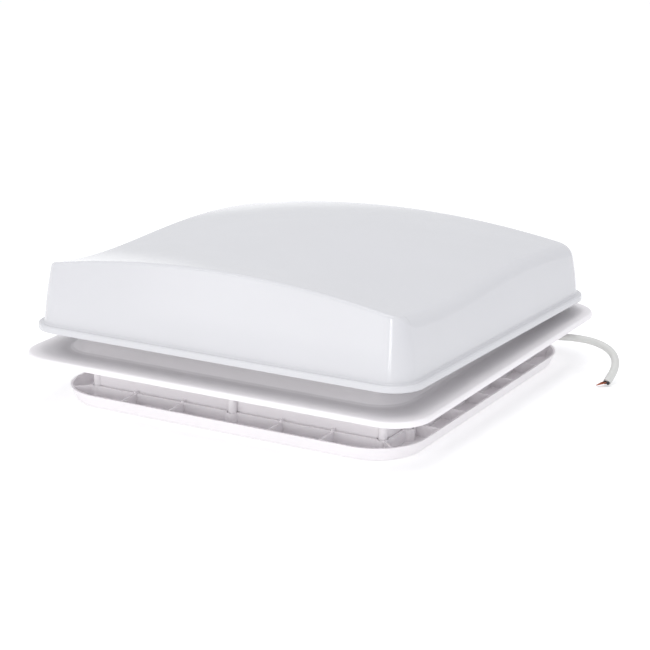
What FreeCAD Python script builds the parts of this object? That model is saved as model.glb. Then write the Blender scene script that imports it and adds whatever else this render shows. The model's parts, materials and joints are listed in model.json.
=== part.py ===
"""Square roof vent for a 355.6 mm (14 inch) hole: hinged lid, hand crank, 12 V fan, inner trim ring.

Frame: origin at the middle of the trim ring's underside, +Z up, +Y towards the lid's hinge,
+X towards the supply cable. Units are millimetres. The lid is drawn closed and then opened
by LID_AJAR, which is the rest position, and the lift arm, slider and crank follow it.
"""
import FreeCAD
import Part
import math
import os

os.makedirs("parts", exist_ok=True)

Vector = FreeCAD.Vector
X_AXIS = Vector(1, 0, 0)
Y_AXIS = Vector(0, 1, 0)
Z_AXIS = Vector(0, 0, 1)

# ---- driving dimensions -------------------------------------------------------------------
LID_AJAR = 1.5                  # degrees that the lid stands open at rest
CLEARANCE = 0.05                # radial play of a shaft or pin in its bore
SKIN = 2.6                      # wall of the moulded covers

TRIM_SIDE = 405.0               # inner trim ring, across its rim
TRIM_CORNER = 54.0
TRIM_BASE_SIDE = 393.0
TRIM_BASE_CORNER = 48.0
TRIM_HEIGHT = 14.2
TRIM_WALL = 2.4
COLLAR_HALF = 172.5             # mid line of the trim ring's inner collar
COLLAR_WALL = 3.0

NECK_HALF = 169.5               # outer face of the neck that drops through the roof
NECK_WALL = 3.0
NECK_BOTTOM = 11.0              # below the collar's top, so that no gap shows between them
RING_CORNER_CENTRE = 160.0      # corner centre shared by the neck, curb and seal
FLANGE_SIDE = 457.0
FLANGE_CORNER = 40.0
FLANGE_BOTTOM = 48.5
FLANGE_TOP = 54.5
FLANGE_SKIN = 3.0
CURB_HALF = 180.0
CURB_TOP = 86.0
POST_RADIUS = 4.5               # screw posts on the neck, which stand in the trim ring's bosses
POST_BOTTOM = 10.0
POST_TOP = 62.0
BOSS_RADIUS = 7.2
SOCKET_RADIUS = 5.6
SOCKET_FLOOR = 9.0
PILOT_HOLE = 2.0

LID_RIM_HALF = 218.0
LID_BODY_HALF = 212.0
LID_CORNER_CENTRE = 189.0
LID_RIM_Z = 68.0                # underside of the closed lid's rim
LID_RIM_HEIGHT = 6.6
LID_DRAFT = 8.0                 # degrees that the walls lean inward
LID_CROWN = 16.5                # rise of the lid's top from its sides to its middle
LID_CEILING = 190.0
# height of the lid's top above its rim at the side walls, from front to hinge
LID_PROFILE = [(-232, 74.0), (-169, 66.8), (-115, 64.2), (-50, 65.8), (10, 69.0), (65, 69.8),
               (130, 67.2), (172, 63.4), (232, 55.0)]

LID_RING_HALF = 190.0           # stiffening ring under the lid
LID_RING_INNER = 165.0
LID_RING_Z = 90.0
LID_RING_THICK = 3.0
SEAL_INNER = 168.0
SEAL_OUTER = 178.0
SEAL_GAP = 0.3

BEAM_PLACES = (-14.0, 58.0)     # front edges of the two beams that carry the slide channel
BEAM_WIDTH = 20.0
BEAM_Z = 97.0
CHANNEL_HALF = 11.0
CHANNEL_WALL = 2.0
CHANNEL_FRONT = -16.0
CHANNEL_BACK = 82.0
CHANNEL_TOP = BEAM_Z
CHANNEL_BOTTOM = 81.5
CHANNEL_SLOT = 4.2              # half width of the slot that the arm passes through

HINGE_Y = 200.0
HINGE_Z = 89.0
HINGE_X = 110.0                 # the two hinges stand this far from the middle
HINGE_PIN = 2.4
HINGE_EYE = 5.0

ARM_LENGTH = 100.0              # also the distance from the lid hinge to the arm pivot
ARM_PIVOT_Y = HINGE_Y - ARM_LENGTH
ARM_THICK = 5.0
ARM_HALF_HEIGHT = 5.0
ARM_PIN = 3.0
SHOE_PIN = 2.0

GEAR_PITCH_RADIUS = 14.0
GEAR_TEETH = 20                 # teeth of the whole wheel that the sector is cut from
WORM_PITCH_RADIUS = 6.0
TOOTH_DEPTH = 1.1
SHAFT_RADIUS = 3.0
WORM_Y = ARM_PIVOT_Y + GEAR_PITCH_RADIUS + WORM_PITCH_RADIUS

BAR_Z = 62.0                    # cross bar that carries the lift gear
BAR_THICK = 2.5
BAR_HALF_WIDTH = 12.0
HOUSING_TOP = 107.0
HOUSING_HALF = 12.0

LEDGE_HALF = 156.0              # ledge inside the neck that carries screen and panel
LEDGE_Z = 19.5
LEDGE_THICK = 2.5
PANEL_Z = 16.5
PANEL_HALF = 163.0
PANEL_FRONT = 106.0
SCREEN_BACK = 105.0
SCREEN_BAR = 9.0
MESH_THICK = 0.5

FAN_RADIUS = 104.0
FAN_BLADES = 6
FAN_PITCH = 18.0
FAN_HUB = 22.0
FAN_BOTTOM = 24.0
FAN_TOP = 42.0
BRACKET_Z = 45.0
MOTOR_RADIUS = 28.0
MOTOR_TOP = 76.0
MOTOR_SHAFT = 2.5

SWITCH_X = 62.0
SWITCH_Y = 138.0
SWITCH_LENGTH = 19.0
SWITCH_WIDTH = 13.0
ROCKER_TILT = 9.0
ROCKER_Z = 19.5                 # height of the rocker's axle
ROCKER_AXLE = 1.2

GLAND_Y = 150.0
GLAND_Z = 35.0
CABLE_RADIUS = 3.5
LEAD_RADIUS = 2.5

# places of the screws, each as the two coordinates in the face that it is driven into
TRIM_BOSSES = [(sx * 166.0, sy * 167.5) for sx in (-1, 1) for sy in (-1, 1)]
TRIM_BOSSES += [(0.0, sy * 172.5) for sy in (-1, 1)]
TRIM_BOSSES += [(sx * 173.0, sy * 128.5) for sx in (-1, 1) for sy in (-1, 1)]
WALL_SCREWS = [(114.0, 54.0), (126.0, 54.0), (-7.0, 38.0), (7.0, 38.0)]
PANEL_SCREWS = [(sx * 159.0, y) for sx in (-1, 1) for y in (112.0, 134.0)]
SCREEN_SCREWS = [(sx * 159.0, y) for sx in (-1, 1) for y in (-130.0, -20.0, 95.0)]
SCREEN_SCREWS += [(sx * 70.0, -159.0) for sx in (-1, 1)]
HOUSING_SCREWS = [(93.0, 71.0), (126.5, 71.0)]

TRIM_RIBS = (-115.0, -57.5, 0.0, 57.5, 115.0)
RIB_THICK = 2.0
RIB_TIP = 2.6                   # how far each rib's inner end stands above the collar

# routes of the cords: straight runs that tube_along rounds off
LEAD_ROUTE = [(169.5, 150, 35), (153, 150, 35.5), (143, 139, 42), (139.5, 114, 47), (140, 84, 50),
              (137, 56, 51.5), (124, 33, 51), (100, 20, 50.4), (72, 17.2, 50.2), (46, 16.2, 51), (29, 12, 53),
              (20, 8, 54)]
LEAD_CLIPS = [(58.0, 17.2, 50.6), (86.0, 18.6, 50.3)]
CABLE_ROUTE = [(169.5, 150, 35), (188, 150.4, 35), (207, 153.6, 36), (226, 157.8, 36.5),
               (244, 160.5, 35), (259, 160, 31.5), (270.5, 155.5, 26.5), (277.5, 146.5, 20),
               (279, 136, 12), (276.6, 125.6, 4.4)]


# ---- general helpers ----------------------------------------------------------------------
def box(x0, x1, y0, y1, z0, z1):
    """A block between two corners."""
    return Part.makeBox(x1 - x0, y1 - y0, z1 - z0, Vector(x0, y0, z0))


def rod(radius, start, direction, length):
    """A cylinder from a start point along a direction."""
    return Part.makeCylinder(radius, length, Vector(*start), direction)


def rounded_square(side, radius, z):
    """Closed outline of a square with rounded corners, centred on the Z axis."""
    half = side / 2
    centre = half - radius
    edges = []
    for quarter in range(4):
        turn = FreeCAD.Rotation(Z_AXIS, 90 * quarter)
        leg = Part.LineSegment(turn.multVec(Vector(half, -centre, z)),
                               turn.multVec(Vector(half, centre, z)))
        diagonal = centre + radius * math.sqrt(0.5)
        arc = Part.Arc(turn.multVec(Vector(half, centre, z)),
                       turn.multVec(Vector(diagonal, diagonal, z)),
                       turn.multVec(Vector(centre, half, z)))
        edges += [leg.toShape(), arc.toShape()]
    return Part.Wire(edges)


def plate(side, radius, z0, z1):
    """A flat rounded-square block."""
    return Part.Face(rounded_square(side, radius, z0)).extrude(Vector(0, 0, z1 - z0))


def frustum(side0, radius0, z0, side1, radius1, z1):
    """A block between two rounded squares of different size."""
    return Part.makeLoft([rounded_square(side0, radius0, z0), rounded_square(side1, radius1, z1)], True, True)


def polygon_yz(points, x0, x1):
    """A flat shape in the YZ plane, thickened along X."""
    corners = [Vector(x0, y, z) for y, z in points]
    return Part.Face(Part.makePolygon(corners + corners[:1])).extrude(Vector(x1 - x0, 0, 0))


def swept_square(points, corner_centre):
    """A section of (distance from middle, height) points swept round a square with round corners."""
    corners = [Vector(d, 0, z) for d, z in points]
    face = Part.Face(Part.makePolygon(corners + corners[:1]))
    face.translate(Vector(0, -corner_centre, 0))
    side = face.extrude(Vector(0, 2 * corner_centre, 0))
    face.translate(Vector(0, 2 * corner_centre, 0))
    corner = face.revolve(Vector(corner_centre, corner_centre, 0), Z_AXIS, 90)
    quarters = []
    for quarter in range(4):
        for piece in (side, corner):
            turned = piece.copy()
            turned.rotate(Vector(), Z_AXIS, 90 * quarter)
            quarters.append(turned)
    return quarters[0].multiFuse(quarters[1:]).removeSplitter()


def screw(point, direction, length, shank=1.9, head=3.8, head_height=2.4):
    """A pan-head screw: its head rests at point and its shank runs along direction."""
    direction = Vector(*direction)
    seat = Vector(*point)
    shank_solid = Part.makeCylinder(shank, length, seat, direction)
    head_solid = Part.makeCylinder(head, head_height, seat, direction * -1)
    head_solid = head_solid.makeFillet(0.8, [edge_at(head_solid, seat - direction * head_height)])
    slot_depth = 1.0
    slot = Part.makeCylinder(1.2, slot_depth, seat - direction * head_height, direction)
    return shank_solid.fuse(head_solid).cut(slot)


def edge_at(solid, centre):
    """The circular edge of a solid whose centre is at a point."""
    for edge in solid.Edges:
        if hasattr(edge.Curve, "Center") and edge.Curve.Center.distanceToPoint(centre) < 1e-6:
            return edge
    raise ValueError("no circular edge there")


def edges_at_height(solid, height):
    """The edges of a solid that lie in one horizontal plane."""
    return [edge for edge in solid.Edges
            if abs(edge.BoundBox.ZMin - height) < 0.1 and abs(edge.BoundBox.ZMax - height) < 0.1]


def fused(shapes):
    """One solid from shapes that touch or overlap."""
    return shapes[0].multiFuse(shapes[1:]).removeSplitter()


def turned(shape, y, z, degrees):
    """A copy turned about an axis along X, so that a part in front of the axis rises."""
    copy = shape.copy()
    copy.rotate(Vector(0, y, z), X_AXIS, -degrees)
    return copy


def with_lid(shape):
    """A lid part moved from the closed to the rest position."""
    return turned(shape, HINGE_Y, HINGE_Z, LID_AJAR)


def with_arm(shape):
    """An arm part moved from the closed to the rest position: it turns twice as far as the lid."""
    return turned(shape, ARM_PIVOT_Y, HINGE_Z, 2 * LID_AJAR)


def with_shoe(shape):
    """The slider moved with the arm, then turned back to stay in line with the lid."""
    return with_arm(turned(shape, ARM_PIVOT_Y - ARM_LENGTH, HINGE_Z, -LID_AJAR))


def tube_along(points, radius, label):
    """A round cord along straight runs joined by the largest tangent arcs that its runs allow."""
    corners = [Vector(*point) for point in points]
    runs = [corners[i + 1] - corners[i] for i in range(len(corners) - 1)]
    edges = []
    start = corners[0]
    radii = []
    for before, corner, after in zip(runs, corners[1:], runs[1:]):
        turn = before.getAngle(after)
        trim = 0.45 * min(before.Length, after.Length)
        bend = trim / math.tan(turn / 2)
        radii.append(round(bend, 1))
        enter = corner - before.normalize() * trim
        leave = corner + Vector(after).normalize() * trim
        inward = (enter + leave) * 0.5 - corner
        centre = corner + inward.normalize() * (bend / math.cos(turn / 2))
        middle = centre + (corner - centre).normalize() * bend
        edges.append(Part.LineSegment(start, enter).toShape())
        edges.append(Part.Arc(enter, middle, leave).toShape())
        start = leave
    edges.append(Part.LineSegment(start, corners[-1]).toShape())
    path = Part.Wire(edges)
    heading = corners[1] - corners[0]
    ring = Part.Wire(Part.makeCircle(radius, corners[0], heading))
    tube = path.makePipeShell([ring], True, True)
    expected = math.pi * radius ** 2 * path.Length
    print(label, "length", round(path.Length, 1), "radii", radii,
          "volume ratio", round(tube.Volume / expected, 4))
    return tube


# ---- trim ring that shows inside the vehicle -----------------------------------------------
def make_trim_ring():
    """Tray-shaped ring with a collar round the neck, stiffening ribs, and a boss for each post."""
    outer = frustum(TRIM_BASE_SIDE, TRIM_BASE_CORNER, 0, TRIM_SIDE, TRIM_CORNER, TRIM_HEIGHT)
    outer = outer.makeFillet(3.0, edges_at_height(outer, 0))
    tray = frustum(TRIM_BASE_SIDE - 1.6 * TRIM_WALL, TRIM_BASE_CORNER - TRIM_WALL, TRIM_WALL,
                   TRIM_SIDE - 2 * TRIM_WALL, TRIM_CORNER - TRIM_WALL, TRIM_HEIGHT + 0.1)
    throat_half = COLLAR_HALF - COLLAR_WALL / 2
    collar_half = COLLAR_HALF + COLLAR_WALL / 2
    throat_corner = throat_half - RING_CORNER_CENTRE
    collar_corner = collar_half - RING_CORNER_CENTRE
    collar = plate(2 * collar_half, collar_corner, 0, TRIM_HEIGHT + 0.2)
    throat = plate(2 * throat_half, throat_corner, -1, TRIM_HEIGHT + 1)
    tray = tray.cut(plate(2 * collar_half, collar_corner, 0, TRIM_HEIGHT + 1))
    ring = outer.cut(tray).fuse(collar).cut(throat)
    half_rib = RIB_THICK / 2
    ribs = []
    tips = []
    for along in TRIM_RIBS:
        for quarter in range(4):
            if along == 0 and quarter in (0, 2):
                continue
            rib = box(along - half_rib, along + half_rib, COLLAR_HALF, TRIM_SIDE / 2, 1.0, TRIM_HEIGHT)
            rib.rotate(Vector(), Z_AXIS, 90 * quarter)
            ribs.append(rib.common(outer))
            tip = box(along - half_rib, along + half_rib, throat_half, collar_half + 2.0, TRIM_HEIGHT - 3,
                      TRIM_HEIGHT + RIB_TIP)
            tip.rotate(Vector(), Z_AXIS, 90 * quarter)
            tips.append(tip)
    for x, y in TRIM_BOSSES[:4]:
        rib = box(-half_rib, half_rib, math.hypot(x, y), TRIM_SIDE, 1.0, TRIM_HEIGHT)
        rib.rotate(Vector(), Z_AXIS, math.degrees(math.atan2(y, x)) - 90)
        ribs.append(rib.common(outer))
    bosses = [rod(BOSS_RADIUS, (x, y, 0), Z_AXIS, TRIM_HEIGHT) for x, y in TRIM_BOSSES]
    ring = fused([ring] + ribs + tips + bosses)
    holes = [rod(PILOT_HOLE + 0.1, (x, y, -1), Z_AXIS, TRIM_HEIGHT + 2) for x, y in TRIM_BOSSES]
    sinks = [rod(4.2, (x, y, -1), Z_AXIS, 4.0) for x, y in TRIM_BOSSES]
    sockets = [rod(SOCKET_RADIUS, (x, y, SOCKET_FLOOR), Z_AXIS, TRIM_HEIGHT) for x, y in TRIM_BOSSES]
    return ring.cut(holes[0].multiFuse(holes[1:] + sinks + sockets))


def make_trim_screws():
    return [screw((x, y, 3.0), (0, 0, 1), 29.0) for x, y in TRIM_BOSSES]


# ---- frame that sits on the roof -----------------------------------------------------------
def make_roof_flange():
    """Flange that lies on the roof, with the sloped curb that the lid closes on."""
    flange = plate(FLANGE_SIDE, FLANGE_CORNER, FLANGE_BOTTOM, FLANGE_TOP)
    flange = flange.makeFillet(2.6, edges_at_height(flange, FLANGE_TOP))
    flange = flange.makeFillet(1.2, edges_at_height(flange, FLANGE_BOTTOM))
    recess = plate(FLANGE_SIDE - 16, FLANGE_CORNER - 8, FLANGE_BOTTOM - 1, FLANGE_TOP - FLANGE_SKIN)
    opening = plate(2 * 186.0, 26.0, FLANGE_BOTTOM - 1, FLANGE_TOP + 1)
    flange = flange.cut(recess).cut(opening)
    inside = CURB_HALF - NECK_WALL
    web = CURB_TOP - NECK_WALL
    section = [
        (NECK_HALF, web), (inside, web), (inside, 69.0), (180.2, 64.2), (185.5, 58.0), (185.5, 51.5),
        (200.0, 51.5), (200.0, FLANGE_TOP), (196.5, 55.0), (193.6, 56.4), (184.0, 66.5), (CURB_HALF, 72.5),
        (CURB_HALF, CURB_TOP - 1.0), (CURB_HALF - 1.0, CURB_TOP), (NECK_HALF, CURB_TOP)]
    curb = swept_square(section, RING_CORNER_CENTRE)
    roof_flange = fused([curb, flange])
    holes = [rod(2.0, (x, 176, z), Y_AXIS, 6) for x, z in hinge_screw_places()]
    return roof_flange.cut(holes[0].multiFuse(holes[1:]))


def make_neck_sleeve():
    """Square sleeve through the roof, with the screw posts and the ledge for screen and panel."""
    inside = NECK_HALF - NECK_WALL
    section = [(inside, NECK_BOTTOM), (NECK_HALF, NECK_BOTTOM), (NECK_HALF, CURB_TOP),
               (inside + 1.0, CURB_TOP), (inside, CURB_TOP - 1.0)]
    wall = swept_square(section, RING_CORNER_CENTRE)
    notches = [rod(BOSS_RADIUS + 0.3, (x, y, 0), Z_AXIS, TRIM_HEIGHT + 0.4) for x, y in TRIM_BOSSES]
    wall = wall.cut(notches[0].multiFuse(notches[1:]))
    ledge = plate(2 * inside + 1, 7.0, LEDGE_Z, LEDGE_Z + LEDGE_THICK).cut(
        plate(2 * LEDGE_HALF, 4.0, LEDGE_Z - 1, LEDGE_Z + LEDGE_THICK + 1))
    posts = [rod(POST_RADIUS, (x, y, POST_BOTTOM), Z_AXIS, POST_TOP - POST_BOTTOM) for x, y in TRIM_BOSSES]
    ledge_bosses = [rod(4.0, (x, y, LEDGE_Z), Z_AXIS, 9.0) for x, y in PANEL_SCREWS + SCREEN_SCREWS]
    sleeve = fused([wall, ledge] + posts + ledge_bosses)
    holes = [rod(PILOT_HOLE, (x, y, POST_BOTTOM - 1), Z_AXIS, 24.0) for x, y in TRIM_BOSSES]
    holes += [rod(1.6, (x, y, LEDGE_Z - 1), Z_AXIS, 9.0) for x, y in PANEL_SCREWS + SCREEN_SCREWS]
    for side in (-1, 1):
        holes += [rod(PILOT_HOLE, (side * 160, y, z), X_AXIS * side, 15) for y, z in WALL_SCREWS]
    holes.append(rod(6.1, (inside - 7, GLAND_Y, GLAND_Z), X_AXIS, 15))
    screen_room = plate(2 * inside, 6.5, POST_BOTTOM + 5.5, LEDGE_Z)
    return sleeve.cut(holes[0].multiFuse(holes[1:] + [screen_room]))


def hinge_screw_places():
    return [(side * HINGE_X + offset, 78.0) for side in (-1, 1) for offset in (-17.0, 17.0)]


# ---- hinges --------------------------------------------------------------------------------
def hinge_eye(x0, x1):
    return rod(HINGE_EYE, (x0, HINGE_Y, HINGE_Z), X_AXIS, x1 - x0)


def hinge_bore(x0, x1):
    return rod(HINGE_PIN + CLEARANCE, (x0, HINGE_Y, HINGE_Z), X_AXIS, x1 - x0)


def make_hinge_bracket(middle):
    base = box(middle - 22, middle + 22, CURB_HALF, CURB_HALF + 2.5, 73.0, 85.0)
    pieces = [base]
    for x0 in (middle - 12.0, middle + 9.0):
        web = [(CURB_HALF, 73.0), (CURB_HALF + 3, 73.0), (HINGE_Y + 3.2, HINGE_Z - 3.8),
               (HINGE_Y - 3.0, HINGE_Z + 4.0), (CURB_HALF, 85.0)]
        pieces += [polygon_yz(web, x0, x0 + 3.0), hinge_eye(x0, x0 + 3.0)]
    bracket = fused(pieces).cut(hinge_bore(middle - 30, middle + 30))
    for x, z in hinge_screw_places():
        bracket = bracket.cut(rod(2.0, (x, 170, z), Y_AXIS, 20))
    return bracket


def make_hinge_brackets():
    return [make_hinge_bracket(side * HINGE_X) for side in (-1, 1)]


def make_hinge_bracket_screws():
    return [screw((x, CURB_HALF + 2.5, z), (0, -1, 0), 6.0, shank=1.9, head=3.4, head_height=2.0)
            for x, z in hinge_screw_places()]


def make_hinge_pins():
    pins = []
    for side in (-1, 1):
        start = side * HINGE_X - 12.4
        shank = rod(HINGE_PIN, (start, HINGE_Y, HINGE_Z), X_AXIS, 24.8)
        head = rod(3.6, (start - 1.6, HINGE_Y, HINGE_Z), X_AXIS, 1.6)
        tail = rod(3.2, (start + 24.8, HINGE_Y, HINGE_Z), X_AXIS, 1.2)
        pins.append(fused([shank, head, tail]))
    return pins


def make_lid_hinge_leaf(middle):
    top = LID_RING_Z + LID_RING_THICK
    foot = box(middle - 17, middle + 17, 168.5, 187.0, top, top + 2.5)
    web = polygon_yz([(186.0, top), (190.4, top), (190.4, 91.0), (196.5, 86.2), (199.0, 93.9),
                      (192.0, top + 2.5), (186.0, top + 2.5)], middle - 8.5, middle + 8.5)
    leaf = fused([foot, web, hinge_eye(middle - 8.5, middle + 8.5)])
    leaf = leaf.cut(hinge_bore(middle - 20, middle + 20))
    for offset in (-12.0, 12.0):
        leaf = leaf.cut(rod(1.7, (middle + offset, 178.0, top - 5), Z_AXIS, 20))
    return leaf


def make_hinge_leaves():
    return [make_lid_hinge_leaf(side * HINGE_X) for side in (-1, 1)]


def leaf_screw_places():
    return [(side * HINGE_X + offset, 178.0) for side in (-1, 1) for offset in (-12.0, 12.0)]


def make_leaf_rivets():
    top = LID_RING_Z + LID_RING_THICK + 2.5
    rivets = []
    for x, y in leaf_screw_places():
        shank = rod(1.6, (x, y, LID_RING_Z + 0.4), Z_AXIS, top - LID_RING_Z - 0.4)
        dome = rod(3.0, (x, y, top), Z_AXIS, 1.4)
        dome = dome.makeFillet(1.0, [edge_at(dome, Vector(x, y, top + 1.4))])
        rivets.append(shank.fuse(dome))
    return rivets


# ---- lid -----------------------------------------------------------------------------------
def lid_top_surface(drop):
    """The crowned, waved top of the closed lid, lowered by drop."""
    span = 232.0
    across = [span * (2 * i / 8 - 1) for i in range(9)]
    rows = []
    for x in across:
        crown = LID_CROWN * (1 - (x / LID_CORNER_CENTRE) ** 2)
        rows.append([Vector(x, y, LID_RIM_Z + height + crown - drop) for y, height in LID_PROFILE])
    surface = Part.BSplineSurface()
    surface.interpolate(rows)
    return surface.toShape()


def lid_body(inset, z0):
    """The lid's solid outline, drawn in by inset, from z0 up to its top surface."""
    lean = math.tan(math.radians(LID_DRAFT))
    body_z = LID_RIM_Z + LID_RIM_HEIGHT

    def half_at(z):
        return LID_BODY_HALF - inset - lean * (z - body_z)

    def corner_at(z):
        return half_at(z) - LID_CORNER_CENTRE + 12.0

    top = LID_CEILING
    walls = frustum(2 * half_at(z0), corner_at(z0), z0, 2 * half_at(top), corner_at(top), top)
    above = lid_top_surface(inset).extrude(Vector(0, 0, 2 * LID_CEILING))
    return walls.cut(above)


def top_edges(solid):
    """Edges where the walls meet the top surface."""
    found = []
    for edge in solid.Edges:
        box_of_edge = edge.BoundBox
        if box_of_edge.ZMin > LID_RIM_Z + 40 and not box_of_edge.ZLength > 55:
            found.append(edge)
    return found


def make_lid_shell():
    body_z = LID_RIM_Z + LID_RIM_HEIGHT
    outer = lid_body(0.0, LID_RIM_Z + 2)
    rounded = outer.makeFillet(5.0, top_edges(outer))
    inner = lid_body(SKIN, LID_RIM_Z - 1)
    rim = plate(2 * LID_RIM_HALF, LID_RIM_HALF - LID_CORNER_CENTRE, LID_RIM_Z, body_z)
    rim = rim.makeFillet(2.2, edges_at_height(rim, body_z))
    rim_room_radius = LID_RIM_HALF - LID_CORNER_CENTRE - 2
    rim_room = plate(2 * LID_RIM_HALF - 4.0, rim_room_radius, LID_RIM_Z - 1, body_z - 2.2)
    return rounded.fuse(rim).cut(rim_room).cut(inner)


def make_lid_spacers():
    """Round spacers between the lid's underside and the ring below it."""
    bottom = LID_RING_Z + LID_RING_THICK
    inner = lid_body(SKIN, LID_RIM_Z - 1)
    spacers = []
    for x, y in lid_post_places():
        spacer = rod(4.5, (x, y, bottom), Z_AXIS, LID_CEILING - bottom).common(inner)
        spacers.append(spacer.cut(rod(1.8, (x, y, bottom - 1), Z_AXIS, 13)))
    return spacers


def lid_post_places():
    reach = 178.0
    corners = [(a * reach, b * reach) for a in (-1, 1) for b in (-1, 1)]
    middles = [(0.0, -reach), (0.0, reach), (-reach, 30.0), (reach, 30.0)]
    return corners + middles


def make_lid_ring():
    top = LID_RING_Z + LID_RING_THICK
    ring = plate(2 * LID_RING_HALF, 24, LID_RING_Z, top)
    ring = ring.cut(plate(2 * LID_RING_INNER, 12, LID_RING_Z - 1, top + 1))
    holes = [rod(2.0, (x, y, LID_RING_Z - 1), Z_AXIS, 6) for x, y in lid_post_places()]
    small_screws = leaf_screw_places() + beam_screw_places()
    holes += [rod(1.7, (x, y, LID_RING_Z - 1), Z_AXIS, 6) for x, y in small_screws]
    holes += [rod(3.9, (x, y, LID_RING_Z - 0.1), Z_AXIS, 1.1) for x, y in lid_post_places()]
    return ring.cut(holes[0].multiFuse(holes[1:]))


def make_lid_screws():
    return [screw((x, y, LID_RING_Z + 1.0), (0, 0, 1), 12.0, shank=1.7, head=3.6, head_height=0.9)
            for x, y in lid_post_places()]


def make_lid_seal():
    half = LID_RING_Z
    section = [(SEAL_INNER, half), (SEAL_INNER + 2, CURB_TOP + SEAL_GAP),
               (SEAL_OUTER - 2, CURB_TOP + SEAL_GAP), (SEAL_OUTER, half)]
    seal = swept_square(section, RING_CORNER_CENTRE)
    pockets = [rod(4.4, (x, y, LID_RING_Z - 2.0), Z_AXIS, 3) for x, y in lid_post_places()]
    return seal.cut(pockets[0].multiFuse(pockets[1:]))


def beam_screw_places():
    return [(side * 176.0, y + BEAM_WIDTH / 2) for side in (-1, 1) for y in BEAM_PLACES]


def make_lid_beam(front):
    ring_top = LID_RING_Z + LID_RING_THICK
    back = front + BEAM_WIDTH
    web = box(-166, 166, front, back, BEAM_Z, BEAM_Z + 2.2)
    edge = box(-160, 160, front, front + 2.2, BEAM_Z, BEAM_Z + 7)
    pieces = [web, edge]
    for side in (-1, 1):
        inner, outer = sorted((side * 165.0, side * 184.0))
        pieces.append(box(inner, outer, front, back, ring_top, ring_top + 2.2))
        inner, outer = sorted((side * 165.0, side * 167.2))
        pieces.append(box(inner, outer, front, back, ring_top, BEAM_Z + 2.2))
    beam = fused(pieces)
    for side in (-1, 1):
        beam = beam.cut(rod(1.9, (side * 176, front + BEAM_WIDTH / 2, 80), Z_AXIS, 40))
    return beam.cut(rod(1.9, (0, front + BEAM_WIDTH / 2, 80), Z_AXIS, 40))


def make_lid_beams():
    return [make_lid_beam(front) for front in BEAM_PLACES]


def make_beam_screws():
    seat = LID_RING_Z + LID_RING_THICK + 2.2
    return [screw((x, y, seat), (0, 0, -1), 4.6, shank=1.6, head=3.2, head_height=1.8)
            for x, y in beam_screw_places()]


def make_slide_channel():
    channel = box(-CHANNEL_HALF, CHANNEL_HALF, CHANNEL_FRONT, CHANNEL_BACK, CHANNEL_BOTTOM, CHANNEL_TOP)
    room = CHANNEL_HALF - CHANNEL_WALL
    channel = channel.cut(box(-room, room, CHANNEL_FRONT - 1, CHANNEL_BACK + 1,
                              CHANNEL_BOTTOM + CHANNEL_WALL, CHANNEL_TOP - CHANNEL_WALL))
    channel = channel.cut(box(-CHANNEL_SLOT, CHANNEL_SLOT, CHANNEL_FRONT - 1, CHANNEL_BACK + 1,
                              CHANNEL_BOTTOM - 1, CHANNEL_BOTTOM + CHANNEL_WALL + 1))
    for front in BEAM_PLACES:
        channel = channel.cut(rod(1.9, (0, front + BEAM_WIDTH / 2, CHANNEL_TOP - 5), Z_AXIS, 10))
    return channel


def make_channel_rivets():
    seat = BEAM_Z + 2.2
    rivets = []
    for front in BEAM_PLACES:
        y = front + BEAM_WIDTH / 2
        shank_bottom = CHANNEL_TOP - CHANNEL_WALL + 0.2
        shank = rod(1.8, (0, y, shank_bottom), Z_AXIS, seat - shank_bottom)
        dome = rod(3.4, (0, y, seat), Z_AXIS, 1.6)
        dome = dome.makeFillet(1.2, [edge_at(dome, Vector(0, y, seat + 1.6))])
        rivets.append(shank.fuse(dome))
    return rivets


# ---- lift gear -----------------------------------------------------------------------------
def gear_sector():
    """Toothed part of the arm, with teeth on the side away from the lid's slide."""
    pitch_angle = 360.0 / GEAR_TEETH
    outside = GEAR_PITCH_RADIUS + TOOTH_DEPTH
    root = GEAR_PITCH_RADIUS - TOOTH_DEPTH - 0.5
    half_x = ARM_THICK / 2
    disc = rod(root, (-half_x, ARM_PIVOT_Y, HINGE_Z), X_AXIS, ARM_THICK)
    pieces = [disc]
    for tooth in range(7):
        wide = 1.05
        narrow = 0.55
        profile = [(ARM_PIVOT_Y + root - 1, HINGE_Z - wide), (ARM_PIVOT_Y + outside, HINGE_Z - narrow),
                   (ARM_PIVOT_Y + outside, HINGE_Z + narrow), (ARM_PIVOT_Y + root - 1, HINGE_Z + wide)]
        solid = polygon_yz(profile, -half_x, half_x)
        solid.rotate(Vector(0, ARM_PIVOT_Y, HINGE_Z), X_AXIS, pitch_angle * tooth)
        pieces.append(solid)
    return fused(pieces)


def make_lift_arm():
    half_x = ARM_THICK / 2
    tip_y = ARM_PIVOT_Y - ARM_LENGTH
    bar = box(-half_x, half_x, tip_y, ARM_PIVOT_Y, HINGE_Z - ARM_HALF_HEIGHT, HINGE_Z + ARM_HALF_HEIGHT)
    tip = rod(ARM_HALF_HEIGHT, (-half_x, tip_y, HINGE_Z), X_AXIS, ARM_THICK)
    arm = fused([bar, tip, gear_sector()])
    arm = arm.cut(rod(ARM_PIN + CLEARANCE, (-10, ARM_PIVOT_Y, HINGE_Z), X_AXIS, 20))
    return arm.cut(rod(SHOE_PIN + CLEARANCE, (-10, tip_y, HINGE_Z), X_AXIS, 20))


def make_shoe_pin():
    return rod(SHOE_PIN, (-8.0, ARM_PIVOT_Y - ARM_LENGTH, HINGE_Z), X_AXIS, 16.0)


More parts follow.
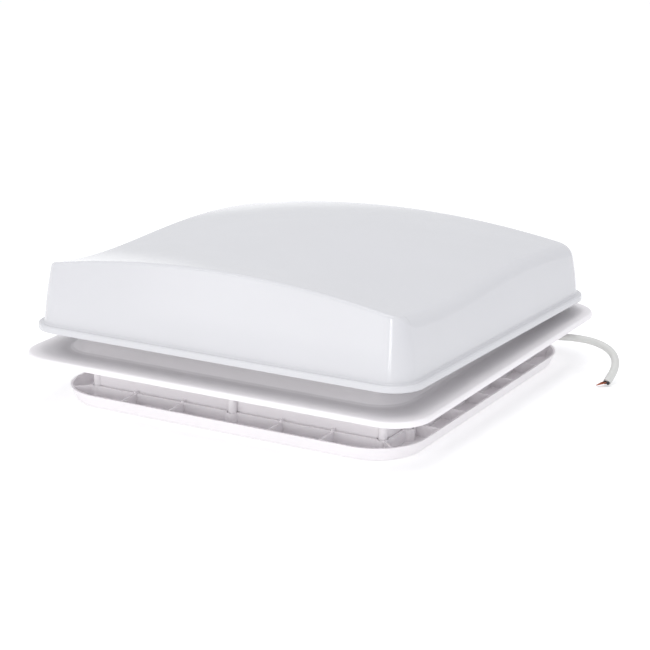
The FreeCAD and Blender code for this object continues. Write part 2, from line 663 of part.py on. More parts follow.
def make_slider_shoe():
    """Fork-shaped nylon block that carries the arm's tip along the channel under the lid."""
    room = CHANNEL_HALF - CHANNEL_WALL - 0.35
    tip_y = ARM_PIVOT_Y - ARM_LENGTH
    block = box(-room, room, tip_y - 8, tip_y + 8, CHANNEL_BOTTOM + CHANNEL_WALL + 0.35,
                CHANNEL_TOP - CHANNEL_WALL - 0.35)
    fork = ARM_THICK / 2 + 0.4
    block = block.cut(box(-fork, fork, tip_y - 7, tip_y + 9, CHANNEL_BOTTOM, CHANNEL_TOP))
    return block.cut(rod(SHOE_PIN + CLEARANCE, (-12, tip_y, HINGE_Z), X_AXIS, 24))


def make_worm_shaft():
    lead = 2 * math.pi * GEAR_PITCH_RADIUS / GEAR_TEETH
    root = WORM_PITCH_RADIUS - TOOTH_DEPTH - 0.3
    outside = WORM_PITCH_RADIUS + TOOTH_DEPTH
    bottom = HINGE_Z - 2.5 * lead
    helix = Part.makeHelix(lead, 5 * lead, root, 0, False)
    wide = 1.0
    narrow = 0.5
    profile = Part.makePolygon([Vector(root - 0.6, 0, -wide), Vector(outside, 0, -narrow),
                                Vector(outside, 0, narrow), Vector(root - 0.6, 0, wide),
                                Vector(root - 0.6, 0, -wide)])
    thread = Part.Wire(helix).makePipeShell([profile], True, True)
    thread.rotate(Vector(), Z_AXIS, 90)
    thread.translate(Vector(0, WORM_Y, bottom))
    thread.rotate(Vector(0, WORM_Y, 0), Z_AXIS, 180)
    core = rod(root, (0, WORM_Y, bottom - 1.5), Z_AXIS, 5 * lead + 3)
    shaft = rod(SHAFT_RADIUS, (0, WORM_Y, 6.0), Z_AXIS, HOUSING_TOP - 2.0 - 6.0)
    worm = core.fuse(shaft).fuse(thread)
    worm.rotate(Vector(0, WORM_Y, 0), Z_AXIS, 2 * LID_AJAR * GEAR_TEETH)
    return worm


def operator_solid():
    foot = box(-26, 26, WORM_Y - BAR_HALF_WIDTH, WORM_Y + BAR_HALF_WIDTH - 1, BAR_Z + BAR_THICK,
               BAR_Z + BAR_THICK + 3)
    body = box(-HOUSING_HALF, HOUSING_HALF, 88, WORM_Y + BAR_HALF_WIDTH - 1, BAR_Z + BAR_THICK, HOUSING_TOP)
    body = body.makeFillet(3.0, [edge for edge in body.Edges
                                 if edge.BoundBox.YLength < 0.01 and edge.BoundBox.XLength < 0.01])
    solid = body.fuse(foot)
    slot = ARM_THICK / 2 + 0.8
    solid = solid.cut(rod(GEAR_PITCH_RADIUS + 3.0, (-slot, ARM_PIVOT_Y, HINGE_Z), X_AXIS, 2 * slot))
    solid = solid.cut(box(-slot, slot, 80, 110.5, HINGE_Z - 7, HOUSING_TOP + 1))
    solid = solid.cut(rod(WORM_PITCH_RADIUS + 2.0, (0, WORM_Y, 74.5), Z_AXIS, 29.0))
    solid = solid.cut(rod(SHAFT_RADIUS + CLEARANCE, (0, WORM_Y, 40), Z_AXIS, 90))
    solid = solid.cut(rod(ARM_PIN + CLEARANCE, (-30, ARM_PIVOT_Y, HINGE_Z), X_AXIS, 60))
    for y, z in HOUSING_SCREWS:
        solid = solid.cut(rod(1.6, (-30, y, z), X_AXIS, 60))
    for side in (-1, 1):
        solid = solid.cut(rod(1.9, (side * 20, WORM_Y, 50), Z_AXIS, 40))
    return solid


def make_operator_housing():
    return operator_solid().common(box(-40, 0, 70, 150, 50, 120))


def make_operator_cover():
    return operator_solid().common(box(0, 40, 70, 150, 50, 120))


def make_housing_screws():
    return [screw((HOUSING_HALF, y, z), (-1, 0, 0), 20.0, shank=1.5, head=2.8, head_height=1.6)
            for y, z in HOUSING_SCREWS]


def make_foot_screws():
    seat = BAR_Z + BAR_THICK + 3
    return [screw((side * 20, WORM_Y, seat), (0, 0, -1), 8.0, shank=1.8, head=3.4, head_height=2.0)
            for side in (-1, 1)]


def make_arm_pivot_pin():
    shank = rod(ARM_PIN, (-HOUSING_HALF - 0.2, ARM_PIVOT_Y, HINGE_Z), X_AXIS, 2 * HOUSING_HALF + 0.4)
    cap_places = (-HOUSING_HALF - 1.8, HOUSING_HALF + 0.2)
    caps = [rod(5.0, (x, ARM_PIVOT_Y, HINGE_Z), X_AXIS, 1.6) for x in cap_places]
    return fused([shank] + caps)


def wall_bar(y0, y1, z, tab_bottom, holes):
    """A bar between the neck's side walls, with a tab bent down at each end."""
    reach = NECK_HALF - NECK_WALL - 0.2
    pieces = [box(-reach, reach, y0, y1, z, z + BAR_THICK)]
    for side in (-1, 1):
        inner, outer = sorted((side * (reach - BAR_THICK), side * reach))
        pieces.append(box(inner, outer, y0, y1, tab_bottom, z + BAR_THICK))
    bar = fused(pieces)
    for y, hole_z in holes:
        bar = bar.cut(rod(2.0, (-200, y, hole_z), X_AXIS, 400))
    return bar


def make_crossbar():
    front = WORM_Y - BAR_HALF_WIDTH
    back = WORM_Y + BAR_HALF_WIDTH
    bar = wall_bar(front, back, BAR_Z, 48.0, WALL_SCREWS[:2])
    stiffeners = [box(-158, 158, y, y + BAR_THICK, BAR_Z - 6, BAR_Z) for y in (front, back - BAR_THICK)]
    bar = fused([bar] + stiffeners)
    bar = bar.cut(rod(4.0, (0, WORM_Y, 50), Z_AXIS, 30))
    for side in (-1, 1):
        bar = bar.cut(rod(1.9, (side * 20, WORM_Y, 50), Z_AXIS, 30))
    return bar


def make_crossbar_screws():
    return wall_screws(WALL_SCREWS[:2])


def wall_screws(places):
    seat = NECK_HALF - NECK_WALL - 0.2 - BAR_THICK
    return [screw((side * seat, y, z), (side, 0, 0), 7.5) for side in (-1, 1) for y, z in places]


def make_crank_knob():
    """Fluted knob that is turned from inside the vehicle."""
    knob = rod(19.0, (0, WORM_Y, 2.5), Z_AXIS, 10.0)
    skirt = rod(8.0, (0, WORM_Y, 12.5), Z_AXIS, 2.2)
    flutes = []
    for step in range(8):
        angle = math.radians(45 * step)
        flutes.append(rod(4.0, (21.0 * math.cos(angle), WORM_Y + 21.0 * math.sin(angle), 1), Z_AXIS, 14))
    knob = knob.cut(flutes[0].multiFuse(flutes[1:])).fuse(skirt)
    knob = knob.cut(rod(SHAFT_RADIUS, (0, WORM_Y, 5.5), Z_AXIS, 20))
    knob = knob.cut(rod(1.6, (0, WORM_Y, 0), Z_AXIS, 20))
    return knob.cut(rod(3.4, (0, WORM_Y, 0), Z_AXIS, 4.0))


def make_knob_screw():
    return screw((0, WORM_Y, 4.0), (0, 0, 1), 1.9, shank=1.5, head=3.0, head_height=1.4)


# ---- fan -----------------------------------------------------------------------------------
def make_motor_bracket():
    bar = wall_bar(-13, 13, BRACKET_Z, 31.0, WALL_SCREWS[2:])
    disc = rod(33.0, (0, 0, BRACKET_Z), Z_AXIS, BAR_THICK)
    beads = []
    for side in (-1, 1):
        inner, outer = sorted((side * 50.0, side * 160.0))
        beads += [box(inner, outer, y, y + 2.5, BRACKET_Z, BRACKET_Z + 6) for y in (-13.0, 10.5)]
    bracket = fused([bar, disc] + beads)
    bracket = bracket.cut(rod(9.0, (0, 0, 40), Z_AXIS, 20))
    for angle in (45, 225):
        place = polar(20.0, angle)
        bracket = bracket.cut(rod(1.9, (place.x, place.y, 40), Z_AXIS, 20))
    return bracket


def polar(radius, degrees):
    return Vector(radius * math.cos(math.radians(degrees)), radius * math.sin(math.radians(degrees)), 0)


def make_motor_bracket_screws():
    return wall_screws(WALL_SCREWS[2:])


def make_fan_motor():
    base = BRACKET_Z + BAR_THICK
    can = rod(MOTOR_RADIUS, (0, 0, base), Z_AXIS, MOTOR_TOP - base)
    can = can.makeFillet(4.0, [edge_at(can, Vector(0, 0, MOTOR_TOP))])
    nose = rod(8.5, (0, 0, BRACKET_Z), Z_AXIS, BAR_THICK + 1)
    cap = rod(9.0, (0, 0, MOTOR_TOP), Z_AXIS, 3.0)
    motor = fused([can, nose, cap])
    motor = motor.cut(rod(MOTOR_SHAFT + CLEARANCE, (0, 0, BRACKET_Z - 1), Z_AXIS, 22))
    for angle in (45, 225):
        place = polar(20.0, angle)
        motor = motor.cut(rod(1.7, (place.x, place.y, BRACKET_Z), Z_AXIS, 10))
    return motor


def make_motor_screws():
    places = [polar(20.0, angle) for angle in (45, 225)]
    return [screw((place.x, place.y, BRACKET_Z), (0, 0, 1), 9.0, shank=1.6, head=3.2, head_height=1.8)
            for place in places]


def make_motor_shaft():
    return rod(MOTOR_SHAFT, (0, 0, FAN_BOTTOM + 3), Z_AXIS, 38.0)


def make_fan_blade():
    blades = []
    for step in range(FAN_BLADES):
        outline = [Vector(FAN_HUB - 3, -9, -1.1), Vector(FAN_RADIUS + 8, -34, -1.1),
                   Vector(FAN_RADIUS + 8, 34, -1.1), Vector(FAN_HUB - 3, 9, -1.1)]
        blade = Part.Face(Part.makePolygon(outline + outline[:1])).extrude(Vector(0, 0, 2.2))
        blade.rotate(Vector(), X_AXIS, -FAN_PITCH)
        blade.translate(Vector(0, 0, (FAN_BOTTOM + FAN_TOP) / 2))
        blade.rotate(Vector(), Z_AXIS, 360 / FAN_BLADES * step)
        blades.append(blade)
    disc = rod(FAN_RADIUS, (0, 0, FAN_BOTTOM - 2), Z_AXIS, FAN_TOP - FAN_BOTTOM + 4)
    hub = rod(FAN_HUB, (0, 0, FAN_BOTTOM + 1), Z_AXIS, FAN_TOP - FAN_BOTTOM - 2)
    hub = hub.makeFillet(4.0, [edge_at(hub, Vector(0, 0, FAN_BOTTOM + 1))])
    fan = fused([hub] + [blade.common(disc) for blade in blades])
    boss = rod(6.0, (0, 0, 0), Z_AXIS, FAN_TOP - 2)
    pocket = rod(FAN_HUB - 3, (0, 0, FAN_BOTTOM + 8), Z_AXIS, 30).cut(boss)
    return fan.cut(pocket).cut(rod(MOTOR_SHAFT, (0, 0, 0), Z_AXIS, 60))


# ---- control panel, switch and insect screen ------------------------------------------------
def make_control_panel():
    panel = box(-PANEL_HALF, PANEL_HALF, PANEL_FRONT, PANEL_HALF, PANEL_Z, LEDGE_Z)
    for side in (-1, 1):
        panel = panel.makeFillet(5.0, [edge for edge in panel.Edges if edge.BoundBox.ZLength > 1
                                       and edge.BoundBox.XLength < 0.01 and edge.BoundBox.YLength < 0.01
                                       and abs(edge.BoundBox.XMin - side * PANEL_HALF) < 0.1
                                       and edge.BoundBox.YMin > PANEL_FRONT + 1])
    stiffener = box(-150, 150, PANEL_FRONT + 4, PANEL_FRONT + 6, LEDGE_Z, LEDGE_Z + 4)
    panel = fused([panel, stiffener])
    panel = panel.cut(rod(SHAFT_RADIUS + 0.4, (0, WORM_Y, 0), Z_AXIS, 60))
    panel = panel.cut(switch_block(0.1, PANEL_Z - 1, LEDGE_Z + 1))
    for x, y in PANEL_SCREWS:
        panel = panel.cut(rod(1.9, (x, y, 10), Z_AXIS, 20))
    for x, y in SCREEN_SCREWS:
        panel = panel.cut(rod(4.5, (x, y, 10), Z_AXIS, 20))
    return panel


def make_panel_screws():
    return [screw((x, y, PANEL_Z), (0, 0, 1), 9.0, shank=1.5, head=2.9, head_height=1.8)
            for x, y in PANEL_SCREWS]


def switch_block(grow, z0, z1):
    return box(SWITCH_X - SWITCH_LENGTH / 2 - grow, SWITCH_X + SWITCH_LENGTH / 2 + grow,
               SWITCH_Y - SWITCH_WIDTH / 2 - grow, SWITCH_Y + SWITCH_WIDTH / 2 + grow, z0, z1)


def make_switch_body():
    flange = box(SWITCH_X - 12, SWITCH_X + 12, SWITCH_Y - 8.5, SWITCH_Y + 8.5, PANEL_Z - 1.8, PANEL_Z)
    body = fused([flange, switch_block(0, PANEL_Z, 33.0)])
    well = box(SWITCH_X - 8.2, SWITCH_X + 8.2, SWITCH_Y - 5.2, SWITCH_Y + 5.2, 10, 26)
    body = body.cut(well)
    terminals = [box(SWITCH_X + dx - 0.4, SWITCH_X + dx + 0.4, SWITCH_Y - 2.4, SWITCH_Y + 2.4, 33, 40)
                 for dx in (-6, 0, 6)]
    axle = rod(ROCKER_AXLE + CLEARANCE, (SWITCH_X, SWITCH_Y - 6.0, ROCKER_Z), Y_AXIS, 12)
    return fused([body] + terminals).cut(axle)


def make_rocker():
    top = 23.5
    tip = 13.8
    profile = [(-7.3, top - 2), (7.3, top - 2), (7.4, tip + 1.0), (0, tip + 2.2), (-7.4, tip + 1.0)]
    corners = [Vector(SWITCH_X + dx, SWITCH_Y - 4.9, z) for dx, z in profile]
    rocker = Part.Face(Part.makePolygon(corners + corners[:1])).extrude(Vector(0, 9.8, 0))
    rocker = rocker.common(rod(8.0, (SWITCH_X, SWITCH_Y - 6, ROCKER_Z), Y_AXIS, 12))
    axle = rod(ROCKER_AXLE, (SWITCH_X, SWITCH_Y - 5.9, ROCKER_Z), Y_AXIS, 11.8)
    rocker = rocker.fuse(axle)
    rocker.rotate(Vector(SWITCH_X, SWITCH_Y, ROCKER_Z), Y_AXIS, ROCKER_TILT)
    return rocker


def make_screen_frame():
    outer = box(-PANEL_HALF, PANEL_HALF, -PANEL_HALF, SCREEN_BACK, PANEL_Z, LEDGE_Z)
    outer = outer.makeFillet(5.0, [edge for edge in outer.Edges if edge.BoundBox.ZLength > 1
                                   and edge.BoundBox.XLength < 0.01 and edge.BoundBox.YLength < 0.01
                                   and edge.BoundBox.YMin < 0])
    inner = PANEL_HALF - SCREEN_BAR
    frame = outer.cut(box(-inner, inner, -inner, SCREEN_BACK - SCREEN_BAR, 0, 40))
    frame = frame.cut(mesh_sheet(0.05))
    for x, y in SCREEN_SCREWS:
        frame = frame.cut(rod(1.9, (x, y, 10), Z_AXIS, 20))
    return frame


def mesh_sheet(grow):
    reach = PANEL_HALF - SCREEN_BAR + 1.5 + grow
    middle = (PANEL_Z + LEDGE_Z) / 2
    half = MESH_THICK / 2 + grow
    return box(-reach, reach, -reach, SCREEN_BACK - SCREEN_BAR + 1.5 + grow, middle - half, middle + half)


def make_insect_mesh():
    return mesh_sheet(0)


def make_screen_screws():
    return [screw((x, y, PANEL_Z), (0, 0, 1), 9.0, shank=1.5, head=2.9, head_height=1.8)
            for x, y in SCREEN_SCREWS]


# ---- wiring --------------------------------------------------------------------------------
def make_cable_gland():
    inside = NECK_HALF - NECK_WALL
    sleeve = rod(6.0, (inside - 5, GLAND_Y, GLAND_Z), X_AXIS, 5 + NECK_WALL)
    collar = rod(8.0, (NECK_HALF, GLAND_Y, GLAND_Z), X_AXIS, 2.4)
    nose = Part.makeCone(6.6, 5.2, 5.0, Vector(NECK_HALF + 2.4, GLAND_Y, GLAND_Z), X_AXIS)
    gland = fused([sleeve, collar, nose])
    gland = gland.cut(rod(CABLE_RADIUS + 0.02, (NECK_HALF, GLAND_Y, GLAND_Z), X_AXIS, 20))
    return gland.cut(rod(LEAD_RADIUS + 0.02, (inside - 10, GLAND_Y, GLAND_Z), X_AXIS, 20))


def make_gland_nut():
    inside = NECK_HALF - NECK_WALL
    corners = [Vector(inside - 4.5, GLAND_Y + 9 * math.cos(math.radians(60 * i)),
                      GLAND_Z + 9 * math.sin(math.radians(60 * i))) for i in range(6)]
    nut = Part.Face(Part.makePolygon(corners + corners[:1])).extrude(Vector(4.4, 0, 0))
    return nut.cut(rod(6.05, (inside - 10, GLAND_Y, GLAND_Z), X_AXIS, 20))


def make_fan_lead():
    return tube_along(LEAD_ROUTE, LEAD_RADIUS, "fan lead").cut(rod(MOTOR_RADIUS, (0, 0, 0), Z_AXIS, 100))


def make_power_cable():
    return tube_along(CABLE_ROUTE, CABLE_RADIUS, "power cable")


def make_lead_clips():
    clips = []
    for x, y, z in LEAD_CLIPS:
        web = box(x - 2.5, x + 2.5, 13, y, 47.6, z + 0.5)
        clip = rod(LEAD_RADIUS + 1.6, (x - 2.5, y, z), X_AXIS, 5).fuse(web)
        clip = clip.cut(rod(LEAD_RADIUS + 0.6, (x - 3, y, z), X_AXIS, 6))
        clips.append(clip)
    return clips


def make_copper_strands():
    end = Vector(*CABLE_ROUTE[-1])
    heading = end - Vector(*CABLE_ROUTE[-2])
    heading = Vector(heading.x, heading.y, 0).normalize()
    strands = []
    for step in range(7):
        angle = math.radians(60 * step)
        offset = Vector(1, 0, 0) * (0.95 * math.cos(angle)) + Vector(0, 0, 1) * (0.95 * math.sin(angle))
        if step == 6:
            offset = Vector()
        strands.append(Part.makeCylinder(0.5, 10.0, end + offset - heading, heading))
    return fused(strands)


# ---- output --------------------------------------------------------------------------------
def save(name, shape):
    """Write one node: a solid, or a group of separate identical solids."""
    group = shape if isinstance(shape, list) else [shape]
    solids = []
    for item in group:
        solids += item.Solids
    for solid in solids:
        if not solid.isValid() or solid.Volume <= 0:
            print("BAD SOLID", name, solid.isValid(), solid.Volume)
    node = solids[0] if len(solids) == 1 else Part.makeCompound(solids)
    node.exportStep("parts/" + name + ".step")
    bounds = node.BoundBox
    print(f"{name:24s} solids {len(solids):2d} volume {node.Volume / 1000:8.2f} cm3  "
          f"x {bounds.XMin:7.1f} {bounds.XMax:7.1f}  y {bounds.YMin:7.1f} {bounds.YMax:7.1f}  "
          f"z {bounds.ZMin:6.1f} {bounds.ZMax:6.1f}")


FIXED_NODES = {
    "trim_ring": make_trim_ring, "trim_screws": make_trim_screws, "roof_flange": make_roof_flange,
    "neck_sleeve": make_neck_sleeve,
    "hinge_brackets": make_hinge_brackets, "hinge_bracket_screws": make_hinge_bracket_screws,
    "hinge_pins": make_hinge_pins, "crossbar": make_crossbar, "crossbar_screws": make_crossbar_screws,
    "operator_housing": make_operator_housing, "operator_cover": make_operator_cover,
    "housing_screws": make_housing_screws, "foot_screws": make_foot_screws,
    "arm_pivot_pin": make_arm_pivot_pin, "motor_bracket": make_motor_bracket,
    "motor_bracket_screws": make_motor_bracket_screws, "fan_motor": make_fan_motor,
    "motor_screws": make_motor_screws, "control_panel": make_control_panel,
    "panel_screws": make_panel_screws, "switch_body": make_switch_body,
    "screen_frame": make_screen_frame, "insect_mesh": make_insect_mesh,
    "screen_screws": make_screen_screws, "cable_gland": make_cable_gland, "gland_nut": make_gland_nut,
    "fan_lead": make_fan_lead, "lead_clips": make_lead_clips, "power_cable": make_power_cable,
    "copper_strands": make_copper_strands,
    "motor_shaft": make_motor_shaft, "fan_blade": make_fan_blade, "rocker": make_rocker,
    "worm_shaft": make_worm_shaft, "crank_knob": make_crank_knob, "knob_screw": make_knob_screw,
}
LID_NODES = {
    "lid_shell": make_lid_shell, "lid_spacers": make_lid_spacers, "lid_ring": make_lid_ring,
    "lid_screws": make_lid_screws, "lid_seal": make_lid_seal, "beam_screws": make_beam_screws,
    "slide_channel": make_slide_channel, "channel_rivets": make_channel_rivets,
    "leaf_rivets": make_leaf_rivets,
    "lid_beams": make_lid_beams, "hinge_leaves": make_hinge_leaves,
}
ARM_NODES = {"lift_arm": make_lift_arm, "shoe_pin": make_shoe_pin}
SHOE_NODES = {"slider_shoe": make_slider_shoe}


def posed(shape, mover):
    """Move a solid, or each solid of a group."""
    if isinstance(shape, list):
        return [mover(item) for item in shape]
    return mover(shape)


for name, maker in FIXED_NODES.items():
    save(name, maker())
for name, maker in LID_NODES.items():
    save(name, posed(maker(), with_lid))
for name, maker in ARM_NODES.items():
    save(name, posed(maker(), with_arm))
for name, maker in SHOE_NODES.items():
    save(name, posed(maker(), with_shoe))
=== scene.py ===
"""Looks of the square roof vent: materials, stage, camera, free cable, and pieces finer than the CAD's.

Everything is in metres in the part's own frame: +Z up, +Y towards the lid's hinge, +X towards the
side where the cable leaves. Profiles and the cable's route are listed in millimetres. Lid pieces are
drawn closed and then opened with the lid's rest angle.
"""
import bpy
import bmesh
import json
import math
import random
import numpy as np
from mathutils import Matrix, Vector

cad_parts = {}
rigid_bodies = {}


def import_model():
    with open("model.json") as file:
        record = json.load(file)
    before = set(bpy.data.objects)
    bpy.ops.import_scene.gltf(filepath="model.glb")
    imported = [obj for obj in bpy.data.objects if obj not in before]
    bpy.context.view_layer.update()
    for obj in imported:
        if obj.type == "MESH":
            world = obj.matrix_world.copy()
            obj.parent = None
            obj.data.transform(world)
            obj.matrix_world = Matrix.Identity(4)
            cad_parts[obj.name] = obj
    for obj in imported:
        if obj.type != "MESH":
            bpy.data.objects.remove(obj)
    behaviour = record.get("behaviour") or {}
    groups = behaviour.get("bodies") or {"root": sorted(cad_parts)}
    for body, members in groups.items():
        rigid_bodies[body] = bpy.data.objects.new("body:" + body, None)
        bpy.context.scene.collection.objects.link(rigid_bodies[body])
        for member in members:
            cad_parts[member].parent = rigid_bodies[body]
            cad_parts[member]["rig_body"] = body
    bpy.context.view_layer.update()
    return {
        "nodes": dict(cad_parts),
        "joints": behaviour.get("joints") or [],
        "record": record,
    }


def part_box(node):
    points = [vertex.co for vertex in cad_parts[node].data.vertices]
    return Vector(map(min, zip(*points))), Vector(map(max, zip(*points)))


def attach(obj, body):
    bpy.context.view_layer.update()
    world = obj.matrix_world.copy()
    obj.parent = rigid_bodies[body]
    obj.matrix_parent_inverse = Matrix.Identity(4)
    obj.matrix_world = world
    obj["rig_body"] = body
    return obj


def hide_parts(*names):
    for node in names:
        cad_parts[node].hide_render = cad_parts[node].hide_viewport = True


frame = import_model()

MM = 0.001
JOINTS = {joint["name"]: joint for joint in frame["joints"]}
HINGE = Vector(JOINTS["lid_hinge"]["pos_m"])
LID_AJAR = -math.radians(JOINTS["lid_hinge"]["range_deg"][0])
NODE_SLOT = {entry["node"]: entry["material_slot"] for entry in frame["record"]["subparts"]}


# ---- camera ---------------------------------------------------------------------------------
CAMERA_AZIMUTH = 29.59
CAMERA_ELEVATION = 16.82
CAMERA_DISTANCE = 2.15937
CAMERA_TARGET = Vector((0.00782, -0.00078, 0.060))
CAMERA_LENS = 113.6


def make_camera():
    """A long lens at the photograph's viewing angle."""
    azimuth = math.radians(CAMERA_AZIMUTH)
    elevation = math.radians(CAMERA_ELEVATION)
    back = Vector((math.sin(azimuth) * math.cos(elevation), -math.cos(azimuth) * math.cos(elevation),
                   math.sin(elevation)))
    data = bpy.data.cameras.new("camera")
    data.lens = CAMERA_LENS
    data.sensor_width = 36.0
    data.clip_end = 50.0
    camera = bpy.data.objects.new("camera", data)
    camera.location = CAMERA_TARGET + back * CAMERA_DISTANCE
    camera.rotation_euler = (math.pi / 2 - elevation, 0, azimuth)
    bpy.context.scene.collection.objects.link(camera)
    bpy.context.scene.camera = camera


# ---- materials ------------------------------------------------------------------------------
def new_material(name):
    """A material with its node tree, its shader, and a source of object coordinates."""
    material = bpy.data.materials.new(name)
    material.use_nodes = True
    nodes = material.node_tree.nodes
    shader = nodes["Principled BSDF"]
    coordinates = nodes.new("ShaderNodeTexCoord")
    return material, nodes, material.node_tree.links, shader, coordinates


def noise(nodes, links, coordinates, scale, detail=3.0, roughness=0.5):
    """Noise laid over the object's own coordinates."""
    texture = nodes.new("ShaderNodeTexNoise")
    texture.inputs["Scale"].default_value = scale
    texture.inputs["Detail"].default_value = detail
    texture.inputs["Roughness"].default_value = roughness
    links.new(coordinates.outputs["Object"], texture.inputs["Vector"])
    return texture


def ramp_between(nodes, links, value, low, high, start=0.3, end=0.7):
    """A colour ramp from low to high, driven by a 0 to 1 value."""
    ramp = nodes.new("ShaderNodeValToRGB")
    ramp.color_ramp.elements[0].position = start
    ramp.color_ramp.elements[0].color = (*low, 1)
    ramp.color_ramp.elements[1].position = end
    ramp.color_ramp.elements[1].color = (*high, 1)
    links.new(value, ramp.inputs["Fac"])
    return ramp.outputs["Color"]


def mapped(nodes, links, value, low, high):
    """The middle half of a noise value stretched from low to high."""
    node = nodes.new("ShaderNodeMapRange")
    node.inputs["From Min"].default_value = 0.25
    node.inputs["From Max"].default_value = 0.75
    node.inputs["To Min"].default_value = low
    node.inputs["To Max"].default_value = high
    links.new(value, node.inputs["Value"])
    return node.outputs["Result"]


def bump(nodes, links, shader, height, distance, strength):
    """Surface relief from a height value."""
    node = nodes.new("ShaderNodeBump")
    node.inputs["Strength"].default_value = strength
    node.inputs["Distance"].default_value = distance
    links.new(height, node.inputs["Height"])
    links.new(node.outputs["Normal"], shader.inputs["Normal"])


def moulded_plastic(name, light, dark, gloss, grain, grain_depth, translucence=0.0):
    """Moulded plastic: faint colour drift, uneven gloss, and a fine grain from the mould."""
    material, nodes, links, shader, coordinates = new_material(name)
    drift = noise(nodes, links, coordinates, 9.0, 4.0)
    links.new(ramp_between(nodes, links, drift.outputs["Fac"], dark, light), shader.inputs["Base Color"])
    sheen = noise(nodes, links, coordinates, 34.0, 5.0, 0.6)
    links.new(mapped(nodes, links, sheen.outputs["Fac"], *gloss), shader.inputs["Roughness"])
    fine = noise(nodes, links, coordinates, grain, 2.0)
    bump(nodes, links, shader, fine.outputs["Fac"], grain_depth, 0.6)
    shader.inputs["Specular IOR Level"].default_value = 0.5
    if translucence:
        shader.inputs["Subsurface Weight"].default_value = translucence
        shader.inputs["Subsurface Radius"].default_value = (4.0 * MM, 4.2 * MM, 4.5 * MM)
        shader.inputs["Subsurface Scale"].default_value = 1.0
    return material


def plated_steel(name, light, dark, roughness, brushed):
    """Plated sheet or wire: small dull blotches, and streaks that the brushed scale draws out."""
    material, nodes, links, shader, coordinates = new_material(name)
    shader.inputs["Metallic"].default_value = 1.0
    stretch = nodes.new("ShaderNodeMapping")
    stretch.inputs["Scale"].default_value = brushed
    links.new(coordinates.outputs["Object"], stretch.inputs["Vector"])
    streak = nodes.new("ShaderNodeTexNoise")
    streak.inputs["Scale"].default_value = 1.0
    streak.inputs["Detail"].default_value = 4.0
    links.new(stretch.outputs["Vector"], streak.inputs["Vector"])
    blotch = noise(nodes, links, coordinates, 120.0, 4.0)
    links.new(ramp_between(nodes, links, blotch.outputs["Fac"], dark, light), shader.inputs["Base Color"])
    links.new(mapped(nodes, links, streak.outputs["Fac"], *roughness), shader.inputs["Roughness"])
    bump(nodes, links, shader, streak.outputs["Fac"], 0.01 * MM, 0.5)
    return material


def copper_wire(name, bright, tarnished):
    """Bare copper, tarnished in fine patches."""
    material, nodes, links, shader, coordinates = new_material(name)
    shader.inputs["Metallic"].default_value = 1.0
    tarnish = noise(nodes, links, coordinates, 900.0, 4.0)
    color = ramp_between(nodes, links, tarnish.outputs["Fac"], tarnished, bright)
    links.new(color, shader.inputs["Base Color"])
    links.new(mapped(nodes, links, tarnish.outputs["Fac"], 0.28, 0.5), shader.inputs["Roughness"])
    return material


MATERIALS = {
    "lid_plastic": moulded_plastic("lid_white", (0.654, 0.652, 0.674), (0.644, 0.642, 0.663), (0.10, 0.17),
                                   grain=55.0, grain_depth=0.04 * MM, translucence=0.05),
    "frame_plastic": moulded_plastic("frame_white", (0.9, 0.872, 0.89), (0.88, 0.852, 0.87), (0.36, 0.5),
                                     grain=1500.0, grain_depth=0.02 * MM),
    "fitting_plastic": moulded_plastic("fitting_white", (0.80, 0.80, 0.80), (0.76, 0.76, 0.765), (0.35, 0.5),
                                       grain=1600.0, grain_depth=0.02 * MM),
    "nylon": moulded_plastic("nylon_natural", (0.74, 0.72, 0.64), (0.68, 0.66, 0.58), (0.32, 0.5),
                             grain=1200.0, grain_depth=0.03 * MM, translucence=0.08),
    "black_plastic": moulded_plastic("switch_black", (0.035, 0.035, 0.038), (0.02, 0.02, 0.022), (0.3, 0.45),
                                     grain=2200.0, grain_depth=0.03 * MM),
    "seal_foam": moulded_plastic("sponge_rubber", (0.06, 0.06, 0.063), (0.025, 0.025, 0.027), (0.8, 0.95),
                                 grain=700.0, grain_depth=0.3 * MM),
    "cable_sheath": moulded_plastic("cable_sheath_white", (0.655, 0.655, 0.635), (0.62, 0.62, 0.60),
                                    (0.38, 0.52), grain=600.0, grain_depth=0.03 * MM),
    "mesh_fibre": moulded_plastic("mesh_grey", (0.20, 0.21, 0.22), (0.13, 0.135, 0.14), (0.5, 0.65),
                                  grain=1500.0, grain_depth=0.02 * MM),
    "motor_steel": moulded_plastic("motor_paint", (0.17, 0.175, 0.185), (0.12, 0.125, 0.13), (0.38, 0.55),
                                   grain=900.0, grain_depth=0.03 * MM),
    "zinc_steel": plated_steel("zinc_plate", (0.72, 0.73, 0.74), (0.52, 0.53, 0.54), (0.28, 0.42),
                               brushed=(900.0, 60.0, 60.0)),
    "fastener_steel": plated_steel("screw_steel", (0.66, 0.66, 0.65), (0.45, 0.45, 0.44), (0.25, 0.4),
                                   brushed=(300.0, 300.0, 300.0)),
    "copper": copper_wire("bare_copper", (0.62, 0.22, 0.12), (0.16, 0.035, 0.022)),
}


def paint_frame():
    """Every CAD node gets the procedural material of its slot."""
    for name, node in frame["nodes"].items():
        node.data.materials.clear()
        node.data.materials.append(MATERIALS[NODE_SLOT[name]])


# ---- stage and light ------------------------------------------------------------------------
WORLD_COLOR = (0.965, 0.975, 1.0)
WORLD_STRENGTH = 0.80
WHITE = (1.0, 1.0, 1.0)
